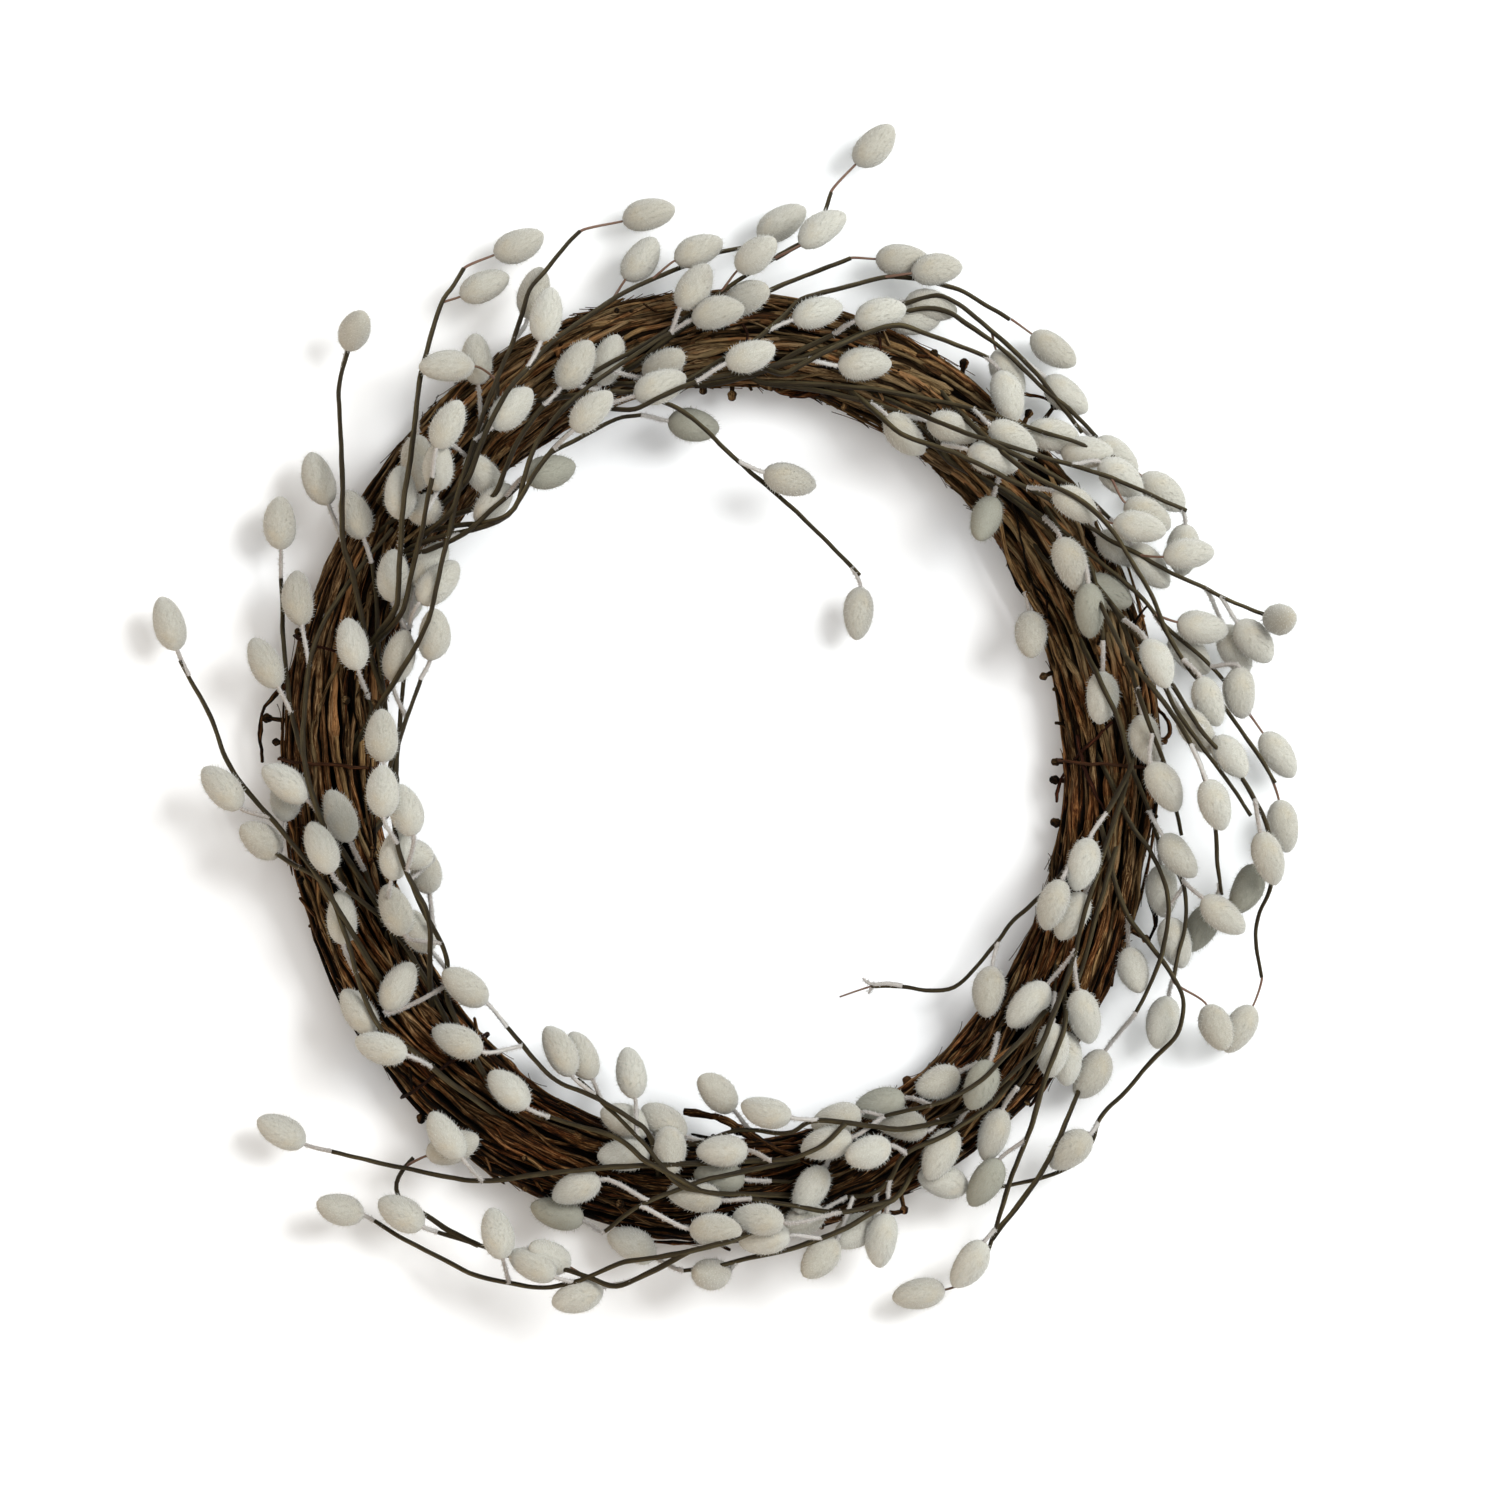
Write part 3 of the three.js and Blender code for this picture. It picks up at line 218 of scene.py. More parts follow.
# Stems and catkins, read from the picture: points along each stem, and base, tip and stalk start of
# each catkin
SPRAYS = {
    "spray_left_1": {
        "stems": [
            [480, 1105, 440, 1075, 410, 1050, 390, 1040, 365, 1000, 345, 935, 325, 885, 285, 860, 240, 828],
        ],
        "catkins": [[278, 855, 241, 826], [343, 945, 340, 890], [374, 1033, 343, 992],
            [284, 822, 287, 772, 284, 853], [407, 1055, 355, 1040]],
    },
    "spray_left_2": {
        "stems": [
            [335, 905, 310, 865, 277, 826, 250, 795, 228, 765, 205, 710, 178, 660],
        ],
        "catkins": [[175, 650, 158, 596], [240, 808, 202, 768]],
    },
    "spray_left_3": {
        "stems": [
            [385, 920, 345, 855, 313, 800, 305, 765, 290, 710, 283, 650, 279, 578],
        ],
        "catkins": [[279, 549, 278, 495], [277, 687, 250, 637], [307, 800, 262, 767]],
    },
    "spray_left_4": {
        "stems": [
            [440, 1010, 410, 955, 378, 915, 345, 890],
        ],
        "catkins": [[332, 873, 308, 817, 340, 890], [350, 842, 328, 790]],
    },
    "spray_left_5": {
        "stems": [
            [320, 815, 304, 760, 305, 700, 315, 640, 350, 580, 392, 528],
        ],
        "catkins": [[416, 512, 434, 506], [301, 625, 295, 570, 305, 667]],
    },
    "spray_left_6": {
        "stems": [
            [395, 780, 388, 740, 384, 705, 378, 650, 376, 600, 371, 563],
            [384, 705, 366, 640, 352, 575, 343, 545, 342, 500, 340, 440, 338, 380, 346, 350],
        ],
        "catkins": [[363, 538, 345, 490], [358, 670, 346, 618], [327, 504, 308, 451, 341, 541],
            [346, 346, 362, 312]],
    },
    "spray_left_7": {
        "stems": [
            [392, 800, 397, 740, 402, 690, 409, 628],
        ],
        "catkins": [[402, 622, 415, 572], [416, 588, 445, 542], [393, 602, 393, 549],
            [420, 603, 458, 562, 409, 628]],
    },
    "spray_left_8": {
        "stems": [
            [470, 1050, 447, 1000, 447, 960, 437, 935, 420, 905, 408, 875],
        ],
        "catkins": [[385, 1011, 412, 963, 430, 985], [430, 950, 405, 912], [405, 935, 385, 885, 425, 950],
            [428, 892, 420, 850, 433, 925], [432, 858, 388, 850], [392, 880, 403, 830]],
    },
    "spray_left_9": {
        "stems": [
            [425, 905, 405, 865, 395, 825, 390, 775, 400, 740, 420, 680],
        ],
        "catkins": [[415, 835, 398, 784], [385, 762, 382, 709], [386, 817, 384, 765],
            [393, 682, 405, 630], [430, 660, 435, 609]],
    },
    "spray_left_10": {
        "stems": [
            [398, 600, 403, 520, 412, 450, 422, 370, 442, 300, 452, 285, 463, 267],
        ],
        "catkins": [[402, 520, 400, 466], [417, 434, 417, 492], [493, 253, 542, 232],
            [459, 295, 508, 274, 448, 305]],
    },
    "spray_left_11": {
        "stems": [
            [405, 605, 418, 550, 428, 505, 436, 470, 447, 446],
        ],
        "catkins": [[438, 490, 440, 444], [438, 450, 461, 402], [467, 457, 505, 498, 447, 446]],
    },
    "spray_left_12": {
        "stems": [
            [432, 610, 447, 545, 460, 490, 480, 440, 496, 400, 497, 382],
        ],
        "catkins": [[478, 384, 474, 334, 478, 440], [474, 366, 419, 367], [478, 525, 510, 487]],
    },
    "spray_top_1": {
        "stems": [
            [470, 530, 512, 493, 550, 455, 580, 438, 620, 418, 640, 415],
        ],
        "catkins": [[668, 420, 719, 428], [525, 478, 576, 466]],
    },
    "spray_top_2": {
        "stems": [
            [455, 505, 475, 440, 490, 400, 503, 365, 512, 345, 522, 315, 530, 290, 545, 270, 565, 245,
             580, 230],
        ],
        "catkins": [[527, 318, 540, 268], [622, 219, 675, 206], [493, 428, 532, 390, 478, 440]],
    },
    "spray_top_3": {
        "stems": [
            [470, 475, 503, 400, 527, 370, 550, 345, 600, 308, 640, 284, 680, 267, 715, 252, 741, 246],
        ],
        "catkins": [[541, 342, 552, 288, 527, 370], [625, 278, 655, 236, 606, 302],
            [675, 260, 722, 240, 650, 278], [758, 235, 806, 206]],
    },
    "spray_top_4": {
        "stems": [
            [640, 360, 665, 340, 700, 318, 742, 301, 780, 285, 820, 268, 851, 256],
        ],
        "catkins": [[728, 305, 768, 288], [876, 257, 930, 258]],
    },
    "spray_top_5": {
        "stems": [
            [498, 490, 520, 440, 545, 405, 590, 375, 630, 352, 665, 332, 700, 308, 735, 282, 775, 258],
            [775, 258, 812, 235, 825, 209, 831, 191],
        ],
        "catkins": [[600, 385, 617, 336], [561, 388, 592, 340, 545, 405], [738, 270, 775, 240, 718, 292],
            [800, 245, 848, 212, 775, 258], [856, 162, 892, 125, 831, 191]],
    },
    "spray_top_6": {
        "stems": [
            [520, 500, 535, 450, 555, 420, 580, 395, 620, 365, 650, 345, 670, 333],
        ],
        "catkins": [[680, 308, 708, 264], [645, 375, 683, 353], [692, 320, 743, 308]],
    },
    "spray_top_7": {
        "stems": [
            [590, 395, 625, 393, 664, 402, 690, 417, 735, 458, 775, 492, 825, 538, 860, 575],
        ],
        "catkins": [[764, 472, 816, 486, 735, 458], [861, 586, 857, 637]],
    },
    "spray_top_8": {
        "stems": [
            [515, 510, 545, 462, 580, 425, 610, 405],
        ],
        "catkins": [[574, 432, 612, 394, 552, 450], [635, 397, 686, 377]],
    },
    "spray_top_9": {
        "stems": [
            [690, 380, 720, 362, 750, 345, 785, 315, 800, 300, 820, 293, 850, 285, 890, 275, 912, 276,
             940, 282, 965, 290, 985, 302, 1012, 317],
        ],
        "catkins": [[793, 320, 842, 306], [912, 272, 963, 265, 885, 276], [1033, 332, 1074, 361]],
    },
    "spray_top_10": {
        "stems": [
            [705, 384, 760, 372, 800, 350, 853, 325, 903, 303, 925, 296, 940, 294, 957, 301, 975, 315,
             990, 328, 1010, 345, 1040, 375, 1055, 395, 1070, 415, 1083, 432],
            [760, 372, 815, 352, 860, 333, 908, 310, 930, 307, 950, 311, 970, 324, 990, 338, 1015, 359,
             1045, 388, 1075, 412, 1098, 437],
        ],
        "catkins": [[905, 300, 957, 310], [888, 318, 937, 318], [997, 348, 1022, 396, 989, 330],
            [1047, 376, 1088, 410], [855, 321, 906, 307], [1097, 438, 1136, 470]],
    },
    "spray_top_11": {
        "stems": [
            [640, 408, 697, 383, 740, 374, 780, 364, 808, 360],
        ],
        "catkins": [[726, 365, 775, 348, 697, 383], [838, 365, 892, 363]],
    },
    "spray_top_12": {
        "stems": [
            [790, 372, 830, 350, 870, 332, 897, 325, 925, 333, 955, 343, 975, 350, 989, 357],
        ],
        "catkins": [[1000, 370, 1015, 422]],
    },
    "spray_right_1": {
        "stems": [
            [765, 382, 830, 384, 900, 393, 970, 408, 1020, 424, 1070, 440, 1115, 457],
            [765, 382, 830, 392, 870, 402, 905, 415, 925, 430, 942, 443],
        ],
        "catkins": [[1028, 430, 1080, 438], [1062, 452, 1112, 452], [887, 415, 924, 453, 870, 402],
            [927, 420, 980, 436, 905, 415], [990, 425, 1038, 456, 972, 408], [968, 450, 1018, 468],
            [1143, 475, 1186, 508]],
    },
    "spray_right_2": {
        "stems": [
            [985, 440, 1040, 456, 1080, 468, 1110, 478, 1140, 490, 1187, 511],
            [985, 440, 1030, 463, 1060, 480, 1090, 500, 1110, 518],
        ],
        "catkins": [[1100, 462, 1142, 494], [1186, 524, 1183, 574], [1125, 503, 1168, 527, 1112, 482],
            [1098, 535, 1145, 562], [1132, 545, 1170, 588], [1112, 524, 1164, 532]],
    },
    "spray_right_3": {
        "stems": [
            [915, 440, 960, 456, 1000, 475, 1045, 498, 1080, 520, 1110, 540, 1140, 555, 1170, 573,
             1200, 585, 1235, 603, 1270, 616],
        ],
        "catkins": [[1053, 492, 1096, 519, 1030, 485], [1163, 557, 1211, 552, 1140, 555],
            [1225, 625, 1250, 672, 1203, 588], [1238, 622, 1271, 660, 1218, 595], [1272, 616, 1290, 618]],
    },
    "spray_right_4": {
        "stems": [
            [955, 462, 1000, 490, 1040, 520, 1085, 550, 1110, 570, 1140, 595, 1165, 625, 1195, 650,
             1225, 680, 1250, 712],
        ],
        "catkins": [[1172, 635, 1208, 670], [1085, 580, 1132, 604], [1178, 622, 1229, 632],
            [1240, 667, 1244, 718], [1265, 733, 1296, 777]],
    },
    "spray_right_5": {
        "stems": [
            [1040, 480, 1085, 505, 1110, 530, 1130, 560, 1150, 595, 1168, 635, 1192, 672, 1227, 710,
             1255, 748, 1277, 783],
        ],
        "catkins": [[1200, 677, 1219, 726, 1184, 660], [1281, 800, 1290, 853]],
    },
    "spray_right_6": {
        "stems": [
            [1060, 530, 1085, 570, 1115, 610, 1140, 660, 1160, 680, 1175, 710, 1200, 745, 1230, 785,
             1250, 815],
            [1115, 610, 1148, 650, 1175, 690, 1200, 730, 1222, 755, 1246, 785, 1268, 830, 1272, 885,
             1260, 918, 1257, 935, 1260, 960, 1264, 978],
        ],
        "catkins": [[1180, 710, 1214, 752], [1258, 865, 1236, 913], [1215, 738, 1244, 776],
            [1145, 640, 1166, 688], [1260, 832, 1276, 885], [1255, 1007, 1230, 1050]],
    },
    "spray_right_7": {
        "stems": [
            [955, 465, 1000, 487, 1045, 518, 1075, 542, 1092, 570, 1100, 610, 1103, 640],
        ],
        "catkins": [[1060, 538, 1080, 596, 1045, 518], [1088, 583, 1090, 640, 1080, 550],
            [1103, 671, 1100, 723]],
    },
    "loose_vine": {
        "stems": [
            [968, 470, 988, 492, 1000, 520, 1008, 555, 1028, 595, 1048, 630, 1062, 665],
        ],
        "catkins": [[993, 498, 979, 540], [1030, 612, 1032, 657]],
    },
    "spray_right_8": {
        "stems": [
            [1105, 615, 1130, 670, 1145, 715, 1165, 765, 1177, 812, 1182, 835],
            [1130, 670, 1165, 705, 1192, 748, 1204, 780, 1215, 825, 1217, 860, 1222, 895],
        ],
        "catkins": [[1142, 714, 1155, 766], [1150, 763, 1178, 812], [1215, 905, 1190, 952],
            [1205, 780, 1222, 830, 1190, 745]],
    },
    "spray_right_9": {
        "stems": [
            [1100, 680, 1118, 720, 1133, 770, 1150, 812, 1163, 850, 1183, 880, 1186, 920, 1178, 960,
             1174, 980],
        ],
        "catkins": [[1162, 865, 1166, 917], [1168, 918, 1184, 968], [1163, 835, 1196, 877, 1150, 812],
            [1203, 898, 1245, 932, 1183, 880], [1170, 997, 1158, 1050],
            [1209, 1007, 1226, 1050, 1174, 980]],
    },
    "spray_right_10": {
        "stems": [
            [1105, 840, 1118, 890, 1130, 918, 1150, 945, 1172, 975, 1184, 1000, 1178, 1035, 1150, 1065,
             1125, 1095, 1100, 1122, 1094, 1142, 1078, 1164, 1030, 1183, 990, 1191],
        ],
        "catkins": [[1130, 950, 1141, 992, 1127, 915], [1091, 1135, 1054, 1167, 1100, 1122],
            [968, 1190, 920, 1176]],
    },
    "spray_right_11": {
        "stems": [
            [1115, 790, 1135, 830, 1150, 850, 1168, 895, 1165, 945, 1150, 985, 1137, 1012],
        ],
        "catkins": [[1107, 1052, 1078, 1099]],
    },
    "spray_right_12": {
        "stems": [
            [1110, 870, 1096, 920, 1085, 960, 1068, 1010],
        ],
        "catkins": [[1065, 1032, 1068, 1087], [1053, 1023, 1050, 1078]],
    },
    "spray_right_13": {
        "stems": [
            [1122, 800, 1108, 840, 1095, 880, 1083, 920, 1073, 960, 1060, 1000, 1048, 1030, 1035, 1060,
             1018, 1086],
        ],
        "catkins": [[1085, 893, 1060, 939], [1078, 990, 1091, 1044, 1075, 955],
            [1048, 984, 1009, 1027, 1071, 950], [1003, 1110, 985, 1162]],
    },
    "spray_right_14": {
        "stems": [
            [1130, 770, 1112, 805, 1085, 843, 1060, 876, 1035, 902, 1010, 925, 1000, 940, 975, 970,
             955, 988, 930, 992, 900, 987, 872, 987],
        ],
        "catkins": [[1090, 838, 1075, 891, 1107, 812], [993, 967, 986, 1017, 1000, 940],
            [1062, 880, 1045, 930]],
    },
    "spray_bottom_1": {
        "stems": [
            [1062, 1035, 1045, 1080, 1030, 1130, 1010, 1185, 997, 1228, 985, 1262, 974, 1280],
            [997, 1228, 1035, 1185, 1060, 1140, 1077, 1098, 1100, 1045],
        ],
        "catkins": [[1000, 1160, 971, 1207], [985, 1243, 953, 1290, 997, 1228],
            [946, 1292, 897, 1300, 974, 1280]],
    },
    "spray_bottom_2": {
        "stems": [
            [1055, 1010, 1040, 1045, 1020, 1065, 1000, 1085, 975, 1105, 940, 1120],
        ],
        "catkins": [[990, 1060, 970, 1108], [958, 1073, 917, 1091], [928, 1131, 880, 1122, 945, 1118],
            [955, 1130, 925, 1185, 966, 1110]],
    },
    "spray_bottom_3": {
        "stems": [
            [1010, 1050, 980, 1080, 945, 1100, 905, 1110, 885, 1116],
        ],
        "catkins": [[905, 1098, 857, 1109], [861, 1112, 813, 1126], [852, 1137, 801, 1151, 885, 1116]],
    },
    "spray_bottom_4": {
        "stems": [
            [985, 1110, 945, 1135, 905, 1155, 890, 1180, 870, 1195, 848, 1198],
        ],
        "catkins": [[888, 1145, 847, 1157, 905, 1155], [872, 1222, 836, 1244],
            [887, 1214, 879, 1269, 890, 1182], [822, 1212, 785, 1231], [836, 1241, 804, 1276],
            [825, 1168, 797, 1213]],
    },
    "spray_bottom_5": {
        "stems": [
            [890, 1128, 840, 1122, 812, 1120, 790, 1132, 740, 1130, 702, 1142, 670, 1148],
            [840, 1122, 820, 1145, 790, 1158, 772, 1160],
        ],
        "catkins": [[648, 1135, 602, 1112], [685, 1137, 642, 1108], [668, 1128, 672, 1174],
            [733, 1110, 700, 1077], [791, 1117, 741, 1104], [650, 1153, 600, 1157],
            [745, 1180, 697, 1175], [748, 1150, 698, 1152]],
    },
    "spray_bottom_6": {
        "stems": [
            [890, 1202, 843, 1212, 800, 1207, 752, 1199],
            [890, 1202, 850, 1226, 800, 1246, 760, 1256, 720, 1266, 684, 1271],
        ],
        "catkins": [[725, 1275, 696, 1272], [722, 1200, 666, 1192], [790, 1235, 741, 1242],
            [784, 1222, 735, 1215, 843, 1212], [655, 1260, 607, 1236]],
    },
    "spray_bottom_7": {
        "stems": [
            [690, 1185, 650, 1200, 625, 1215, 605, 1232],
        ],
        "catkins": [[583, 1222, 530, 1207], [600, 1180, 553, 1199, 650, 1200],
            [690, 1228, 742, 1230, 640, 1207]],
    },
    "spray_bottom_8": {
        "stems": [
            [730, 1240, 680, 1252, 624, 1262, 600, 1272, 570, 1283, 545, 1288, 510, 1284, 480, 1278,
             450, 1265, 400, 1240, 373, 1223],
            [680, 1252, 655, 1268, 615, 1286, 590, 1278, 565, 1270, 512, 1258, 485, 1249, 436, 1234],
            [485, 1249, 447, 1232, 424, 1217, 398, 1200, 395, 1185, 403, 1170, 412, 1160],
        ],
        "catkins": [[568, 1267, 530, 1246], [603, 1288, 553, 1304], [555, 1277, 512, 1255],
            [361, 1217, 316, 1204], [503, 1259, 491, 1208], [422, 1228, 380, 1203], [426, 1157, 480, 1138]],
    },
    "spray_bottom_9": {
        "stems": [
            [660, 1165, 605, 1168, 550, 1173, 485, 1182, 440, 1177, 385, 1166, 330, 1153],
        ],
        "catkins": [[303, 1146, 256, 1121], [462, 1158, 430, 1113, 484, 1181]],
    },
    "spray_bottom_10": {
        "stems": [
            [700, 1190, 680, 1185, 645, 1145, 600, 1100, 577, 1080],
            [680, 1185, 645, 1160, 620, 1140, 585, 1128, 550, 1118],
        ],
        "catkins": [[592, 1080, 572, 1036], [572, 1076, 545, 1026], [635, 1099, 626, 1048, 640, 1135],
            [527, 1108, 489, 1073]],
    },
    "spray_bottom_11": {
        "stems": [
            [640, 1125, 600, 1100, 555, 1080, 530, 1055, 507, 1028],
        ],
        "catkins": [[482, 1052, 432, 1030, 520, 1045], [486, 1003, 443, 971]],
    },
}

# Thickness of the stems on each side of the ring, as a share of the thickest
STEM_GIRTHS = {"left": 1.0, "top": 0.97, "right": 0.92, "bottom": 0.97}

# Stems whose tip ends under a catkin: which stem of the spray, over how many points, and how far down
TIPS_UNDER = {"spray_bottom_1": (1, 9, 18.0)}

# Catkins whose stalk is bare and reddish, and catkins painted grey where they lie in shade, by where their
# base is in the picture
BARE_STALKS = (
    (493, 253), (459, 295), (622, 219), (625, 278), (675, 260), (758, 235), (738, 270), (800, 245),
    (856, 162), (876, 257), (912, 272), (997, 348), (1033, 332), (1125, 503), (1143, 475), (1112, 524),
    (1163, 557), (1178, 622), (1281, 800), (1265, 733), (1209, 1007), (1255, 1007),
    (946, 1292), (568, 1267), (426, 1157), (474, 366),
)
CATKINS_IN_PAINTED_SHADE = (
    (668, 420), (525, 478), (993, 498), (905, 1098), (990, 1060), (745, 1180), (583, 1222), (1258, 865),
    (1215, 905), (1085, 580), (1000, 1160),
)
READING_SLACK = 6

# The downy tip of the stem that reaches into the ring: points in the picture, radius at each end, and
# finish, of its sleeve, of its two forks, and of the bare twig that goes on
TIP_SPRAY = "spray_right_14"
TIP = (
    ([903, 987, 888, 985, 874, 986], 1.4, 1.2, 0),
    ([877, 986, 869, 984, 863, 979], 1.1, 0.5, 0),
    ([877, 987, 872, 989, 869, 995], 1.0, 0.4, 0),
    ([876, 986, 860, 991, 840, 998], 0.55, 0.4, 1),
)

# Buds on the bark and short broken twigs, by their places in the picture
BUDS = (
    (1045, 676), (1057, 762), (1056, 780), (1057, 823), (703, 388), (732, 394), (771, 385), (845, 405),
    (908, 1083), (297, 632), (345, 700), (274, 742), (373, 703), (300, 880), (1155, 741), (1148, 940),
    (905, 1212), (1100, 640), (560, 352), (620, 1205), (420, 1120), (380, 500), (1030, 412), (265, 718),
    (1115, 565), (1140, 620), (935, 352), (965, 362), (1057, 403), (1165, 741),
)

# Loose twigs: thickness at root and tip in millimetres, and their points in the picture from the root
TWIGS = (
    (2.2, 1.6, [292, 668, 278, 690, 263, 706, 258, 730, 260, 762]),
    (1.6, 1.2, [362, 776, 368, 790, 373, 820, 374, 852]),
    (3.4, 3.2, [812, 1163, 775, 1150, 745, 1133, 720, 1120, 683, 1113]),
    (2.2, 2.0, [748, 1137, 735, 1134, 732, 1126]),
    (1.4, 1.2, [985, 480, 1002, 520, 1012, 570, 1030, 600, 1048, 618]),
    (1.3, 1.1, [1000, 478, 1012, 500, 1022, 540, 1032, 580, 1050, 600]),
    (1.8, 1.3, [1005, 384, 1025, 392, 1042, 395, 1057, 403]),
    (1.8, 1.3, [1150, 895, 1157, 920, 1156, 930, 1150, 941]),
    (1.8, 1.3, [1158, 705, 1172, 727, 1171, 734, 1165, 742]),
    (1.8, 1.3, [868, 1206, 888, 1213, 896, 1215, 906, 1212]),
    (1.8, 1.5, [748, 372, 762, 384, 774, 388, 772, 380, 764, 372]),
    (2.6, 2.2, [762, 378, 782, 391, 800, 393, 820, 394]),
    (2.4, 1.8, [815, 385, 830, 396, 842, 404]),
    (2.0, 1.6, [700, 1222, 712, 1240, 722, 1248, 730, 1252]),
)
TENDRILS = (
    (1.6, 1.2, [1112, 722, 1100, 735, 1075, 760, 1060, 785, 1058, 802]),
    (1.8, 1.3, [1078, 735, 1083, 760, 1092, 785, 1106, 812]),
    (1.2, 1.0, [738, 316, 742, 322, 747, 332, 748, 342]),
    (1.2, 1.0, [876, 328, 878, 335, 881, 342, 880, 350]),
)


def centre_of_ring():
    """Middle of the box of the inner vines, which lie evenly round it."""
    low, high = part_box("inner_vines")
    return (np.array(low) + np.array(high)) / 2


CENTRE = centre_of_ring()
FLOOR = -CENTRE[2] / MM


def plan(points):
    """Points of the picture as places in plan: from the ring's middle, to the right and up the picture."""
    return (np.array(points, float).reshape(-1, 2) - RING_POINT) * (MM_PER_POINT, -MM_PER_POINT)


def unit(vectors):
    """The vectors, made one long."""
    return vectors / np.linalg.norm(vectors, axis=-1, keepdims=True)


def lengths_along(path):
    """Distance along a path to each of its points, from 0 at the first."""
    steps = np.linalg.norm(np.diff(path, axis=-2), axis=-1)
    return np.concatenate([np.zeros_like(steps[..., :1]), np.cumsum(steps, axis=-1)], axis=-1)


def drift(along, rng, longest, waves=4):
    """Smooth wandering between about -1 and 1: a sum of sines, each shorter and lower than the last."""
    total = np.zeros_like(along, float)
    for i in range(waves):
        total += np.sin(2 * np.pi * (along * 1.7**i / longest + rng.random())) / 1.5**i
    return total / 2


def wander(along, rng, longest):
    """Drift of a path in all three directions."""
    return np.stack([drift(along, rng, longest) for _ in range(3)], axis=-1)


def smoothed(values, reach):
    """Running mean of the values over that many to each side."""
    count = 2 * reach + 1
    return np.convolve(np.pad(values, reach, mode="edge"), np.ones(count) / count, mode="valid")


def cubic(s, start, leave, end, arrive):
    """The cubic from start to end as s goes from 0 to 1, with the slope it leaves and arrives with."""
    return (
        (2 * s**3 - 3 * s**2 + 1) * start + (s**3 - 2 * s**2 + s) * leave
        + (3 * s**2 - 2 * s**3) * end + (s**3 - s**2) * arrive
    )


# Surfaces


def tube(path, radius, sides, reference, turn=0.0):
    """Rings round paths: path point + radius * (cos f * side + sin f * top), for f once round.

    Side is at right angles to the path and the reference, and top to the path and side. Gives the rings
    and the unwound place of each of their points: (radius cos f, radius sin f, length along).
    """
    ahead = unit(np.gradient(path, axis=-2))
    side = unit(np.cross(reference, ahead))
    top = np.cross(ahead, side)
    if np.ndim(radius) < path.ndim:
        radius = np.asarray(radius)[..., None] * np.ones(sides)
    f = 2 * np.pi * np.arange(sides) / sides + np.asarray(turn)[..., None]
    cos, sin = radius * np.cos(f), radius * np.sin(f)
    rings = path[..., None, :] + cos[..., None] * side[..., None, :] + sin[..., None] * top[..., None, :]
    along = lengths_along(path)[..., None] * np.ones(sides)
    return rings, np.stack([cos, sin, along], axis=-1)


def own_grain(unwound, rng, shape=None):
    """Moves unwound places along by a random length, so that no two tubes have the same grain."""
    unwound[..., 2] += rng.uniform(0, GRAIN_LENGTH, shape)


